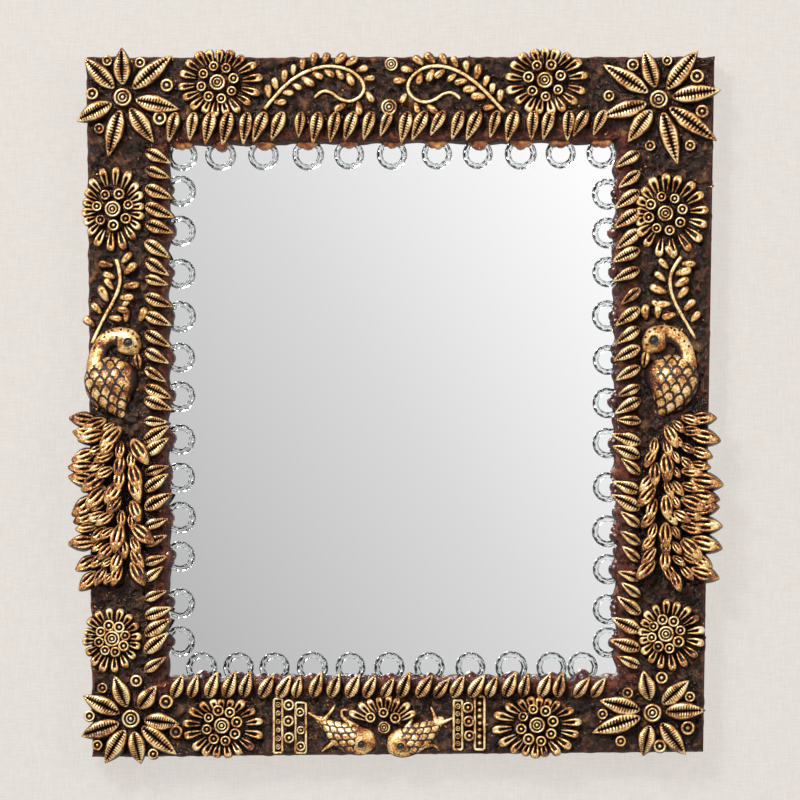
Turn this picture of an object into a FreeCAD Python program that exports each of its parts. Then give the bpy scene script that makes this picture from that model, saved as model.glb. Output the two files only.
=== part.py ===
import FreeCAD, Part
import math
import os

# Wall mirror with a hand-modelled relief frame.
# X runs to the right and Z up, seen from the front, and the front faces -Y.
# The origin lies on the wall plane behind the middle of the sight opening.
# All lengths are in millimetres.

# Frame bars: the sight opening and the width of each bar at both of its ends
sight_width = 302.7
sight_height = 359.0
left_bar_top = 50.7
left_bar_bottom = 46.4
right_bar_top = 59.5
right_bar_bottom = 51.5
top_bar_left = 54.3
top_bar_right = 52.0
bottom_bar_left = 47.0
bottom_bar_right = 44.3

# Depths, from the wall forward
bumper_height = 6.0
bar_depth = 15.0
glass_thickness = 4.0
panel_thickness = 3.0
coat_thickness = 2.0
rebate_width = 8.0
rebate_gap = 0.5
cut_overrun = 5.0

# V-nails across the mitres
nail_leg = 6.0
nail_plate = 0.8
nail_height = 8.0
nail_place_shares = (0.3, 0.72)

# Turn-buttons that hold the backing panel, and their screws
button_length = 26.0
button_width = 10.0
button_thickness = 1.6
button_seat_gap = 0.3
button_pivot_inset = 6.0
button_turn_gap = 0.05
button_edge_offset = 6.5
button_screw_radius = 1.6
button_screw_head_radius = 3.4
button_screw_head_height = 1.6
button_screw_length = 11.0

# Hangers: strap, swinging ring, and their screws
hanger_rise = 120.0
hanger_edge_offset = 30.0
strap_width = 12.0
strap_length = 34.0
strap_thickness = 1.0
barrel_wall = 0.9
ring_wire_radius = 1.3
ring_turn_gap = 0.06
ring_side_gap = 0.6
ring_arm_length = 8.0
ring_lean_gap = 0.25
hanger_screw_radius = 1.7
hanger_screw_head_radius = 3.2
hanger_screw_head_height = 1.4
hanger_screw_length = 12.0
hanger_screw_first = 10.0
hanger_screw_pitch = 14.0
thread_fit_gap = 0.05

# Bumper pads
bumper_radius = 7.0
bumper_corner_inset = 17.0

# Glass rings on the mirror
ring_outer_radius = 10.0
ring_hole_radius = 6.2
ring_thickness = 3.0
ring_bevel = 0.9
ring_row_inset = 10.9

# Paste lumps on the edge of the frame, above the rings
lump_radius = 5.6
lump_depth = 3.6
lump_below_coat = 0.6

# Border leaves round the opening
border_leaf_length_px = 28.0
border_leaf_length_bottom_px = 22.2
border_leaf_width_px = 12.8
border_leaf_height = 5.0
border_overhang_px = 7.6
border_lean_deg = 16.0
border_pitch_px = 17.6

# Leaf form: belly place, shrink of the upper outlines, and the groove
belly_share = 0.40
flank_share = 0.66
shoulder_height_share = 0.62
shoulder_shrink_share = 0.86
crest_shrink_share = 0.56
groove_length_share = 0.66
groove_width_share = 0.2
groove_depth_share = 0.55

# Boss form: its turned profile from the middle of the foot, over the rim, to the dot on top
boss_out_shares = (0, 1, 0.92, 0.68, 0.6, 0.42, 0.34, 0)
boss_up_shares = (0, 0, 1, 1, 0.62, 0.62, 0.9, 0.9)

# Corner stars
star_boss_radius_px = 10.0
star_boss_height = 6.5
star_trough_px = 3.6
star_petal_width_px = 16.7
star_petal_height = 6.0
star_petal_gap_px = 1.2
star_bead_radius_px = 5.5
star_bead_height = 4.0

# Daisies
daisy_boss_radius_px = 7.9
daisy_boss_height = 6.0
drum_radius_px = 4.7
drum_height = 5.0
drum_circle_radius_px = 15.0
drum_count = 8
daisy_petal_count = 20
daisy_petal_width_px = 9.7
daisy_petal_inner_px = 20.7
daisy_petal_height = 4.2
daisy_petal_gap_px = 0.8
petal_tail_share = 0.45

# Vines
stem_width_px = 4.6
stem_end_width_px = 2.4
stem_height = 3.0
bud_length_px = 11.2
bud_width_px = 6.7
bud_height = 3.2
bud_stem_gap_px = 0.8
bud_angle_deg = 58.0
spiral_bead_radius_px = 8.5
spiral_bead_height = 4.6

# Peacocks, their beaks and eyes, and their tails
figure_depth_share = 0.66
eye_radius_px = 4.5
eye_depth = 3.0
beak_length_px = 13.7
beak_width_px = 8.2
beak_height = 6.0
feather_length_px = 22.8
feather_width_px = 12.5
feather_height = 6.5

# Fish
fish_fin_length_px = 15.2
fish_fin_width_px = 7.6
fish_fin_height = 3.0
fish_fin_gap_px = 0.8
fish_eye_radius_px = 2.4

# Half daisy and bead panels
fan_petal_reach_px = 27.7
fan_petal_width_px = 7.0
fan_petal_count = 6
fan_start_deg = 24.0
fan_end_deg = 156.0
panel_bar_width_px = 7.9
panel_bar_height = 3.0

# Places read off the photograph, in its pixels
board_left_px = 85.5
board_right_px = 713.0
board_top_px = 55.5
board_bottom_px = 755.0
ring_columns_top_px = (182, 221, 264, 309, 350, 393, 438, 479, 522, 562, 603)
ring_columns_bottom_px = (201, 238, 274, 312, 350, 389, 429, 470, 511, 551, 582)
ring_rows_left_px = (190, 230, 273, 316, 357, 396, 439, 477, 517, 556, 603, 641)
ring_rows_right_px = (195, 234, 273, 317, 361, 404, 444, 488, 532, 570, 610, 643)
sight_left_px = 162.5
sight_right_px = 622.5
sight_top_px = 138.0
sight_bottom_px = 683.5

# Corner stars: middle in pixels, then each petal's angle in degrees and reach in pixels
stars = {
    "corner_star_top_left": (
        (122, 96),
        ((134, 55), (92, 50), (42, 62), (-11, 57), (-57, 54), (-103, 60), (-153, 50)),
        ((91, 92), (98, 127), (159, 117), (166, 84), (139, 61), (106, 59)),
    ),
    "corner_star_top_right": (
        (659, 101),
        ((147, 66), (107, 51), (53, 61), (10, 62), (-37, 70), (-73, 66), (-126, 51), (-164, 59)),
        ((633, 66), (667, 62), (697, 78), (702, 113), (690, 147), (650, 147), (609, 97)),
    ),
    "corner_star_bottom_left": (
        (131, 718),
        ((111, 46), (53, 41), (-5, 47), (-37, 57), (-79, 45), (-120, 50), (-161, 52), (154, 54)),
        ((136, 680), (102, 687), (166, 701), (176, 731), (153, 753), (97, 744), (89, 715)),
    ),
    "corner_star_bottom_right": (
        (652, 713),
        ((102, 43), (42, 48), (4, 51), (-51, 52), (-104, 43), (-161, 62), (167, 53)),
        ((661, 678), (689, 697), (687, 728), (659, 746), (620, 741), (602, 714), (627, 693)),
    ),
}

# Daisies: middle, then the reach to the left, right, top and bottom, all in pixels
daisies = {
    "daisy_top_left": ((216, 81), (41, 45, 35, 34)),
    "daisy_top_right": ((545, 81), (41, 44, 33, 35)),
    "daisy_left_upper": ((111, 211), (31, 29, 46, 41)),
    "daisy_right_upper": ((669, 216), (25, 40, 42, 45)),
    "daisy_left_lower": ((112, 635), (31, 28, 32, 34)),
    "daisy_right_lower": ((669, 635), (25, 35, 34, 35)),
    "daisy_bottom_left": ((222, 725), (40, 43, 26, 33)),
    "daisy_bottom_right": ((537, 725), (46, 45, 26, 33)),
}

# Vines: stem points in pixels, then the buds' places along the stem on its left and right side
vines = {
    "vine_top_left": (
        ((267, 105), (282, 87), (301, 72), (326, 66), (348, 71), (360, 85), (354, 97), (341, 98)),
        (0.16, 0.25, 0.34, 0.43, 0.52, 0.61, 0.70, 0.80, 0.90),
        (0.14, 0.26, 0.38),
    ),
    "vine_top_right": (
        ((500, 106), (484, 88), (468, 77), (447, 69), (425, 72), (413, 85), (418, 98), (431, 100)),
        (0.14, 0.26, 0.38),
        (0.16, 0.25, 0.34, 0.43, 0.52, 0.61, 0.70, 0.80, 0.90),
    ),
    "vine_left": (
        ((115, 266), (117, 278), (114, 292), (107, 305), (101, 315)),
        (0.16, 0.40, 0.64, 0.88),
        (0.12, 0.34, 0.56, 0.78),
    ),
    "vine_right": (
        ((678, 270), (673, 281), (674, 294), (680, 306), (688, 316)),
        (0.14, 0.42, 0.66, 0.90),
        (0.12, 0.34, 0.56, 0.78),
    ),
}
spiral_beads_px = ((389, 107), (391, 64))

# Peacocks: spine points from the tail end to the head with the half width there, all in pixels,
# then the eye, and the beak's root with its direction in degrees
peacocks = {
    "peacock_left": (
        ((121, 413, 2.5), (117, 404, 10), (112, 391, 21), (108, 378, 25), (102, 366, 19), (95, 355, 9.5),
         (96, 345, 7.5), (104, 337, 7.5), (115, 335, 8.5), (126, 340, 11), (132, 348, 7)),
        (128, 342), (134, 356), -70.0,
    ),
    "peacock_right": (
        ((659, 413, 2.5), (663, 404, 10), (668, 391, 21), (672, 378, 25), (679, 366, 19), (688, 355, 9.5),
         (688, 345, 7.5), (681, 337, 7.5), (670, 335, 8.5), (659, 340, 11), (653, 348, 7)),
        (657, 341), (649, 358), -110.0,
    ),
}

# Tails: columns of feathers, each with its column, first and last row in pixels and the direction
# of the first and the last feather in degrees
tails = {
    "peacock_tail_left": (
        (99, 414, 562, 188.0, 222.0), (118, 424, 568, 212.0, 236.0), (133, 421, 566, 258.0, 268.0),
    ),
    "peacock_tail_right": (
        (683, 414, 562, -8.0, -42.0), (664, 425, 568, -34.0, -56.0), (650, 421, 566, -78.0, -88.0),
    ),
}
feather_pitches_px = (16.1, 17.6, 28.8)

# Fish: spine points from the nose to the tail root with the half width, in pixels, then the eye,
# and each tail fin's direction in degrees
fish = {
    "fish_left": (
        ((375, 743, 3), (365, 742, 9), (352, 736, 13), (338, 727, 9), (327, 719, 4)),
        (361, 743), (166.0, 74.0),
    ),
    "fish_right": (
        ((389, 744, 3), (399, 743, 9), (411, 737, 13), (424, 728, 9), (434, 720, 4)),
        (401, 744), (14.0, 106.0),
    ),
}
half_daisy_rise_px = 16.7
half_daisy_drum_angles_deg = (30.0, 90.0, 150.0)
bead_panels = {
    "bead_panel_left": ((277, 301), (702, 750), ((289, 708), (289, 726), (289, 744))),
    "bead_panel_right": ((458, 481), (702, 748), ((469, 708), (469, 725), (469, 742))),
}

# Depth planes and outer corners that follow from the sizes above
bar_back = -bumper_height
bar_front = bar_back - bar_depth
coat_front = bar_front - coat_thickness
panel_front = bar_back - panel_thickness
glass_front = panel_front - glass_thickness
sight_left = -sight_width / 2
sight_right = sight_width / 2
sight_top = sight_height / 2
sight_bottom = -sight_height / 2
corner_top_left = (sight_left - left_bar_top, sight_top + top_bar_left)
corner_top_right = (sight_right + right_bar_top, sight_top + top_bar_right)
corner_bottom_right = (sight_right + right_bar_bottom, sight_bottom - bottom_bar_right)
corner_bottom_left = (sight_left - left_bar_bottom, sight_bottom - bottom_bar_left)

# The relief is drawn at the largest size of a pixel that fits the opening and every bar
relief_pixel = min(
    sight_width / (sight_right_px - sight_left_px),
    sight_height / (sight_bottom_px - sight_top_px),
    left_bar_top / (sight_left_px - board_left_px),
    right_bar_top / (board_right_px - sight_right_px),
    top_bar_left / (sight_top_px - board_top_px),
    bottom_bar_left / (board_bottom_px - sight_bottom_px),
)
border_leaf_length = border_leaf_length_px * relief_pixel
border_leaf_length_bottom = border_leaf_length_bottom_px * relief_pixel
border_leaf_width = border_leaf_width_px * relief_pixel
border_overhang = border_overhang_px * relief_pixel
border_pitch = border_pitch_px * relief_pixel
star_boss_radius = star_boss_radius_px * relief_pixel
star_trough = star_trough_px * relief_pixel
star_petal_width = star_petal_width_px * relief_pixel
star_petal_gap = star_petal_gap_px * relief_pixel
star_bead_radius = star_bead_radius_px * relief_pixel
daisy_boss_radius = daisy_boss_radius_px * relief_pixel
drum_radius = drum_radius_px * relief_pixel
drum_circle_radius = drum_circle_radius_px * relief_pixel
daisy_petal_width = daisy_petal_width_px * relief_pixel
daisy_petal_inner = daisy_petal_inner_px * relief_pixel
daisy_petal_gap = daisy_petal_gap_px * relief_pixel
stem_width = stem_width_px * relief_pixel
stem_end_width = stem_end_width_px * relief_pixel
bud_length = bud_length_px * relief_pixel
bud_width = bud_width_px * relief_pixel
bud_stem_gap = bud_stem_gap_px * relief_pixel
spiral_bead_radius = spiral_bead_radius_px * relief_pixel
eye_radius = eye_radius_px * relief_pixel
beak_length = beak_length_px * relief_pixel
beak_width = beak_width_px * relief_pixel
feather_length = feather_length_px * relief_pixel
feather_width = feather_width_px * relief_pixel
fish_fin_length = fish_fin_length_px * relief_pixel
fish_fin_width = fish_fin_width_px * relief_pixel
fish_fin_gap = fish_fin_gap_px * relief_pixel
fish_eye_radius = fish_eye_radius_px * relief_pixel
fan_petal_reach = fan_petal_reach_px * relief_pixel
fan_petal_width = fan_petal_width_px * relief_pixel
panel_bar_width = panel_bar_width_px * relief_pixel
half_daisy_rise = half_daisy_rise_px * relief_pixel
feather_pitches = [pitch_px * relief_pixel for pitch_px in feather_pitches_px]

nodes = {}


def vector(x, y, z):
    return FreeCAD.Vector(x, y, z)


# Board coordinates of a place in the photograph: over the opening it keeps its share of the
# opening, and over a bar its distance from the outer edge
def across_board(column_px):
    if column_px < sight_left_px:
        return sight_left - left_bar_top + (column_px - board_left_px) * relief_pixel
    if column_px > sight_right_px:
        return sight_right + right_bar_top - (board_right_px - column_px) * relief_pixel
    return sight_left + sight_width * (column_px - sight_left_px) / (sight_right_px - sight_left_px)


def down_board(row_px):
    if row_px < sight_top_px:
        return sight_top + top_bar_left - (row_px - board_top_px) * relief_pixel
    if row_px > sight_bottom_px:
        return sight_bottom - bottom_bar_left + (board_bottom_px - row_px) * relief_pixel
    return sight_top - sight_height * (row_px - sight_top_px) / (sight_bottom_px - sight_top_px)


def on_board(place_px):
    return across_board(place_px[0]), down_board(place_px[1])


# A place that keeps its distance from an anchor of the same ornament
def beside(anchor_px, place_px):
    x, z = on_board(anchor_px)
    return x + (place_px[0] - anchor_px[0]) * relief_pixel, z - (place_px[1] - anchor_px[1]) * relief_pixel


# Prism over a polygon in the plane of the frame, from one depth to another
def slab(corners, y_from, y_to):
    points = [vector(x, y_from, z) for x, z in corners]
    face = Part.Face(Part.makePolygon(points + points[:1]))
    return face.extrude(vector(0, y_to - y_from, 0))


def block(x_from, x_to, y_from, y_to, z_from, z_to):
    corners = ((x_from, z_from), (x_to, z_from), (x_to, z_to), (x_from, z_to))
    return slab(corners, y_from, y_to)


def rod(radius, length, x, y, z, direction):
    return Part.makeCylinder(radius, length, vector(x, y, z), direction)


toward_wall = vector(0, 1, 0)
toward_room = vector(0, -1, 0)


# A solid made flat on the bench, with its height along +Z, laid on the frame's front
def lay(solid, x, z, turn_deg, depth):
    placed = solid.copy()
    stand = FreeCAD.Placement(vector(x, depth, z), FreeCAD.Rotation(vector(1, 0, 0), 90))
    turn = FreeCAD.Placement(vector(0, 0, 0), FreeCAD.Rotation(vector(0, 0, 1), turn_deg))
    placed.Placement = stand.multiply(turn)
    return placed


def lay_on_coat(solid, x, z, turn_deg):
    return lay(solid, x, z, turn_deg, coat_front)


# Closed leaf outline with its fat end at the start and its point at the end of the length
def leaf_outline(length, width, shrink, height):
    middle = length / 2
    belly = length * belly_share

    def point(x, y):
        return vector(middle + (x - middle) * shrink, y * shrink, height)

    half = width / 2
    flank = (belly + length) / 2
    flank_half = half * flank_share
    tip = point(length, 0)
    upper = point(belly, half)
    lower = point(belly, -half)
    edges = [
        Part.Arc(tip, point(flank, flank_half), upper).toShape(),
        Part.Arc(upper, point(0, 0), lower).toShape(),
        Part.Arc(lower, point(flank, -flank_half), tip).toShape(),
    ]
    return Part.Wire(edges)


# Closed outline with a point at both ends, like a cowrie
def lens_outline(length, width, shrink, height):
    middle = length / 2
    reach = middle * shrink
    half = width * shrink / 2
    root = vector(middle - reach, 0, height)
    tip = vector(middle + reach, 0, height)
    edges = [
        Part.Arc(tip, vector(middle, half, height), root).toShape(),
        Part.Arc(root, vector(middle, -half, height), tip).toShape(),
    ]
    return Part.Wire(edges)


# Domed leaf over an outline; the groove along its middle is left out of buds
def leaf(length, width, height, grooved, outline_of=leaf_outline):
    outlines = [
        outline_of(length, width, 1, 0),
        outline_of(length, width, shoulder_shrink_share, height * shoulder_height_share),
        outline_of(length, width, crest_shrink_share, height),
    ]
    body = Part.makeLoft(outlines, True, True)
    if not grooved:
        return body
    start = vector(length * (1 - groove_length_share) / 2, 0, height)
    end = vector(length * (1 + groove_length_share) / 2, 0, height)
    side = vector(0, width * groove_width_share / 2, 0)
    middle = (start + end) / 2
    sides = [
        Part.Arc(start, middle + side, end).toShape(),
        Part.Arc(end, middle - side, start).toShape(),
    ]
    floor = Part.Face(Part.Wire(sides))
    floor.translate(vector(0, 0, -height * groove_depth_share))
    return body.cut(floor.extrude(vector(0, 0, height)))


# Drum with a ring stamped into its top and a dot left in the middle
def boss(radius, height):
    points = []
    for out_share, up_share in zip(boss_out_shares, boss_up_shares):
        points.append(vector(radius * out_share, 0, height * up_share))
    face = Part.Face(Part.makePolygon(points + points[:1]))
    return face.revolve(vector(0, 0, 0), vector(0, 0, 1), 360)


# Hairpin petal: a round outer end on a tapered tail that points to the middle, with one groove
def hairpin_petal(inner, outer, width, tail_width, height):
    round_middle = outer - width / 2
    half = width / 2
    tail = tail_width / 2
    edges = [
        Part.LineSegment(vector(inner, -tail, 0), vector(round_middle, -half, 0)).toShape(),
        Part.Arc(vector(round_middle, -half, 0), vector(outer, 0, 0),
                 vector(round_middle, half, 0)).toShape(),
        Part.LineSegment(vector(round_middle, half, 0), vector(inner, tail, 0)).toShape(),
        Part.LineSegment(vector(inner, tail, 0), vector(inner, -tail, 0)).toShape(),
    ]
    body = Part.Face(Part.Wire(edges)).extrude(vector(0, 0, height))
    slot_half = width * groove_width_share / 2
    slot_end = round_middle - slot_half
    slot_corners = [
        vector(inner - slot_half, -slot_half, height * groove_depth_share),
        vector(slot_end, -slot_half, height * groove_depth_share),
        vector(slot_end, slot_half, height * groove_depth_share),
        vector(inner - slot_half, slot_half, height * groove_depth_share),
    ]
    slot = Part.Face(Part.makePolygon(slot_corners + slot_corners[:1]))
    return body.cut(slot.extrude(vector(0, 0, height)))


# The four bars, mitred at the corners, with a rebate behind the sight edge
inner_top_left = (sight_left, sight_top)
inner_top_right = (sight_right, sight_top)
inner_bottom_right = (sight_right, sight_bottom)
inner_bottom_left = (sight_left, sight_bottom)
bar_corners = {
    "top": (corner_top_left, corner_top_right, inner_top_right, inner_top_left),
    "right": (corner_top_right, corner_bottom_right, inner_bottom_right, inner_top_right),
    "bottom": (corner_bottom_right, corner_bottom_left, inner_bottom_left, inner_bottom_right),
    "left": (corner_bottom_left, corner_top_left, inner_top_left, inner_bottom_left),
}
rebate = block(
    sight_left - rebate_width, sight_right + rebate_width,
    bar_back + cut_overrun, glass_front,
    sight_bottom - rebate_width, sight_top + rebate_width,
)
bar_names = {"top": "top_rail", "right": "right_stile", "bottom": "bottom_rail", "left": "left_stile"}
bars = {}
for side, corners in bar_corners.items():
    bars[side] = slab(corners, bar_back, bar_front).cut(rebate)
    nodes["ground_coat_" + side] = [slab(corners, bar_front, coat_front)]


# A V-nail straddles a mitre: its two legs spread away from the outer corner
def v_nail(outer, inner, share):
    x = outer[0] + (inner[0] - outer[0]) * share
    z = outer[1] + (inner[1] - outer[1]) * share
    run = math.atan2(inner[1] - outer[1], inner[0] - outer[0])
    points = []
    for spread, length in ((-1, nail_leg), (0, 0), (1, nail_leg)):
        angle = run + spread * math.pi / 4
        points.append((x + length * math.cos(angle), z + length * math.sin(angle)))
    step = nail_plate * math.sqrt(2)
    shift = (step * math.cos(run), step * math.sin(run))
    inside = [(px + shift[0], pz + shift[1]) for px, pz in points]
    return slab(points + inside[::-1], bar_back, bar_back - nail_height)


mitres = (
    (corner_top_left, inner_top_left, "top", "left"),
    (corner_top_right, inner_top_right, "top", "right"),
    (corner_bottom_right, inner_bottom_right, "bottom", "right"),
    (corner_bottom_left, inner_bottom_left, "bottom", "left"),
)
nodes["corner_v_nails"] = []
for outer, inner, rail, stile in mitres:
    for share in nail_place_shares:
        nail = v_nail(outer, inner, share)
        nodes["corner_v_nails"].append(nail)
        bars[rail] = bars[rail].cut(nail)
        bars[stile] = bars[stile].cut(nail)

# Mirror glass against the lip, and the backing panel behind it, flush with the bars
rebate_left = sight_left - rebate_width + rebate_gap
rebate_right = sight_right + rebate_width - rebate_gap
rebate_low = sight_bottom - rebate_width + rebate_gap
rebate_high = sight_top + rebate_width - rebate_gap
nodes["mirror_glass"] = [
    block(rebate_left, rebate_right, panel_front, glass_front, rebate_low, rebate_high)
]
nodes["backing_panel"] = [
    block(rebate_left, rebate_right, bar_back, panel_front, rebate_low, rebate_high)
]


# Screw with a domed head; the head's underside lies at the given depth
def screw(x, z, head_under, shank_radius, head_radius, head_height, length):
    shank = rod(shank_radius, length, x, head_under, z, toward_room)
    rise = (head_radius ** 2 - head_height ** 2) / (2 * head_height)
    ball = Part.makeSphere(head_radius ** 2 / (2 * head_height) + head_height / 2,
                           vector(x, head_under - rise, z))
    cap = ball.common(rod(head_radius, head_height * 2, x, head_under, z, toward_wall))
    return shank.fuse(cap).removeSplitter()


# Turn-buttons: one at the middle of each bar, stored pointing over the panel
button_spots = {
    "turn_button_top": (0, sight_top + rebate_width + button_edge_offset, -90.0, "top"),
    "turn_button_bottom": (0, sight_bottom - rebate_width - button_edge_offset, 90.0, "bottom"),
    "turn_button_left": (sight_left - rebate_width - button_edge_offset, 0, 0.0, "left"),
    "turn_button_right": (sight_right + rebate_width + button_edge_offset, 0, 180.0, "right"),
}
button_back = bar_back + button_seat_gap
button_head_seat = button_back + button_thickness + button_seat_gap
half_width = button_width / 2
heel = half_width - button_pivot_inset
toe = heel + button_length - button_width
outline = Part.Wire([
    Part.Arc(vector(heel, half_width, 0), vector(heel - half_width, 0, 0),
             vector(heel, -half_width, 0)).toShape(),
    Part.LineSegment(vector(heel, -half_width, 0), vector(toe, -half_width, 0)).toShape(),
    Part.Arc(vector(toe, -half_width, 0), vector(toe + half_width, 0, 0),
             vector(toe, half_width, 0)).toShape(),
    Part.LineSegment(vector(toe, half_width, 0), vector(heel, half_width, 0)).toShape(),
])
button_plate = Part.Face(outline).extrude(vector(0, 0, button_thickness))
pivot_hole = Part.makeCylinder(button_screw_radius + button_turn_gap, button_thickness + 2 * cut_overrun,
                               vector(0, 0, -cut_overrun))
button_plate = button_plate.cut(pivot_hole)
nodes["turn_button_screws"] = []
for name, (x, z, turn_deg, side) in button_spots.items():
    nodes[name] = [lay(button_plate, x, z, turn_deg, button_back + button_thickness)]
    nodes["turn_button_screws"].append(screw(
        x, z, button_head_seat, button_screw_radius, button_screw_head_radius,
        button_screw_head_height, button_screw_length,
    ))
    pilot = rod(button_screw_radius, button_screw_length, x, button_head_seat, z, toward_room)
    bars[side] = bars[side].cut(pilot)

# Hangers: the strap is folded into a barrel round the straight bar of the ring
barrel_bore = ring_wire_radius + ring_turn_gap
barrel_radius = barrel_bore + barrel_wall
barrel_axis = bar_back + barrel_radius
arm_offset = strap_width / 2 + ring_side_gap + ring_wire_radius
ring_reach = ring_arm_length + arm_offset
lean_deg = math.degrees(math.asin((barrel_radius - ring_wire_radius - ring_lean_gap) / ring_reach))
hanger_x = {
    "left": sight_left - hanger_edge_offset,
    "right": sight_right + hanger_edge_offset,
}
nodes["hanger_screws"] = []
for side, x in hanger_x.items():
    z = hanger_rise
    half = strap_width / 2
    across = vector(1, 0, 0)
    plate = block(x - half, x + half, bar_back, bar_back + strap_thickness, z - strap_length, z)
    barrel = rod(barrel_radius, strap_width, x - half, barrel_axis, z, across)
    strap = plate.fuse(barrel)
    strap = strap.cut(rod(barrel_bore, strap_width + 2 * cut_overrun, x - half - cut_overrun,
                          barrel_axis, z, across))
    for count in (0, 1):
        screw_z = z - hanger_screw_first - count * hanger_screw_pitch
        seat = bar_back + strap_thickness
        nodes["hanger_screws"].append(screw(
            x, screw_z, seat, hanger_screw_radius, hanger_screw_head_radius,
            hanger_screw_head_height, hanger_screw_length,
        ))
        shank_hole = rod(hanger_screw_radius + thread_fit_gap, strap_thickness + cut_overrun,
                         x, bar_back - cut_overrun + strap_thickness, screw_z, toward_wall)
        strap = strap.cut(shank_hole)
        pilot = rod(hanger_screw_radius, hanger_screw_length, x, seat, screw_z, toward_room)
        bars[side] = bars[side].cut(pilot)
    nodes["hanger_strap_" + side] = [strap]
    low_left = vector(x - arm_offset, barrel_axis, z)
    low_right = vector(x + arm_offset, barrel_axis, z)
    up = vector(0, 0, ring_arm_length)
    ring = rod(ring_wire_radius, 2 * arm_offset, x - arm_offset, barrel_axis, z, across)
    for foot in (low_left, low_right):
        arm = Part.makeCylinder(ring_wire_radius, ring_arm_length, foot, vector(0, 0, 1))
        ring = ring.fuse([arm, Part.makeSphere(ring_wire_radius, foot)])
    bow = Part.makeTorus(arm_offset, ring_wire_radius, vector(x, barrel_axis, z) + up, toward_wall)
    upper = block(x - strap_width, x + strap_width, bar_back - strap_width, bar_back + strap_width,
                  z + ring_arm_length, z + ring_arm_length + strap_width)
    ring = ring.fuse(bow.common(upper)).removeSplitter()
    ring.rotate(vector(x, barrel_axis, z), across, lean_deg)
    nodes["hanger_ring_" + side] = [ring]

for side, name in bar_names.items():
    nodes[name] = [bars[side]]

# Bumper pads at the back corners
nodes["wall_bumpers"] = []
for corner in (corner_top_left, corner_top_right, corner_bottom_right, corner_bottom_left):
    x = corner[0] - math.copysign(bumper_corner_inset, corner[0])
    z = corner[1] - math.copysign(bumper_corner_inset, corner[1])
    nodes["wall_bumpers"].append(rod(bumper_radius, bumper_height, x, bar_back, z, toward_wall))

# Glass rings on the face of the glass, a row along each side
low = ring_bevel
high = ring_thickness - ring_bevel
ring_profile = [
    vector(ring_hole_radius + ring_bevel, 0, 0), vector(ring_outer_radius - ring_bevel, 0, 0),
    vector(ring_outer_radius, 0, low), vector(ring_outer_radius, 0, high),
    vector(ring_outer_radius - ring_bevel, 0, ring_thickness),
    vector(ring_hole_radius + ring_bevel, 0, ring_thickness),
    vector(ring_hole_radius, 0, high), vector(ring_hole_radius, 0, low),
]
ring_face = Part.Face(Part.makePolygon(ring_profile + ring_profile[:1]))
glass_ring = ring_face.revolve(vector(0, 0, 0), vector(0, 0, 1), 360)
lump_front = coat_front + lump_below_coat
lump_disc = Part.makeCylinder(lump_radius, lump_depth)
lump_cut = Part.makeBox(2 * lump_radius, 2 * lump_radius, lump_depth + 2 * cut_overrun,
                        vector(-2 * lump_radius, -lump_radius, -cut_overrun))
paste_lump = lump_disc.cut(lump_cut)
nodes["edge_lumps"] = []
ring_spots = {"glass_rings_" + side: [] for side in bar_corners}
for column in ring_columns_top_px:
    ring_spots["glass_rings_top"].append((across_board(column), sight_top, -90.0))
for column in ring_columns_bottom_px:
    ring_spots["glass_rings_bottom"].append((across_board(column), sight_bottom, 90.0))
for row in ring_rows_left_px:
    ring_spots["glass_rings_left"].append((sight_left, down_board(row), 0.0))
for row in ring_rows_right_px:
    ring_spots["glass_rings_right"].append((sight_right, down_board(row), 180.0))
for name, spots in ring_spots.items():
    nodes[name] = []
    for x, z, inward_deg in spots:
        inward = math.radians(inward_deg)
        ring_x = x + ring_row_inset * math.cos(inward)
        ring_z = z + ring_row_inset * math.sin(inward)
        nodes[name].append(lay(glass_ring, ring_x, ring_z, 0, glass_front))
        nodes["edge_lumps"].append(lay(paste_lump, x, z, inward_deg, lump_front + lump_depth))

# Border leaves: fat ends on the coat, points over the glass, leaning along each side
lean_run_share = math.cos(math.radians(border_lean_deg))
lean_drift_share = math.sin(math.radians(border_lean_deg)) / 2
border_ends_px = {
    "top": (173, 601), "bottom": (190, 590),
    "left_upper": (161, 392), "left_middle": (409, 427), "left_lower": (444, 660),
    "right_upper": (165, 395), "right_middle": (412, 430), "right_lower": (447, 656),
}
for side in ("top", "bottom", "left", "right"):
    nodes["border_leaves_" + side] = []
for row, (first_px, last_px) in border_ends_px.items():
    side = row.split("_")[0]
    if side in ("top", "bottom"):
        row_length = across_board(last_px) - across_board(first_px)
    else:
        row_length = down_board(first_px) - down_board(last_px)
    count = 1 + max(1, math.floor(row_length / border_pitch))
    length = border_leaf_length_bottom if side == "bottom" else border_leaf_length
    border_leaf = leaf(length, border_leaf_width, border_leaf_height, True)
    border_reach = length * lean_run_share - border_overhang
    border_drift = length * lean_drift_share
    for number in range(count):
        place_px = first_px + (last_px - first_px) * number / (count - 1)
        if side == "top":
            x = across_board(place_px) + border_drift
            z = sight_top + border_reach
            turn_deg = -90.0 - border_lean_deg
        elif side == "bottom":
            x = across_board(place_px) - border_drift
            z = sight_bottom - border_reach
            turn_deg = 90.0 - border_lean_deg
        else:
            lean = {"upper": -1, "middle": 0, "lower": 1}[row.split("_")[1]]
            x = sight_left - border_reach if side == "left" else sight_right + border_reach
            z = down_board(place_px) - lean * border_drift
            slope_deg = lean * border_lean_deg
            turn_deg = slope_deg if side == "left" else 180.0 - slope_deg
        nodes["border_leaves_" + side].append(lay_on_coat(border_leaf, x, z, turn_deg))


# Widest lens petal that stays clear of the middle lines to its neighbours
def petal_width(root, length, half_sector_deg):
    width = star_petal_width
    steps = 20
    for number in range(1, steps):
        along = length * number / steps
        room = (root + along) * math.tan(math.radians(half_sector_deg)) - star_petal_gap / 2
        fullness = 4 * (number / steps) * (1 - number / steps)
        width = min(width, 2 * room / fullness)
    return width


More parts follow.
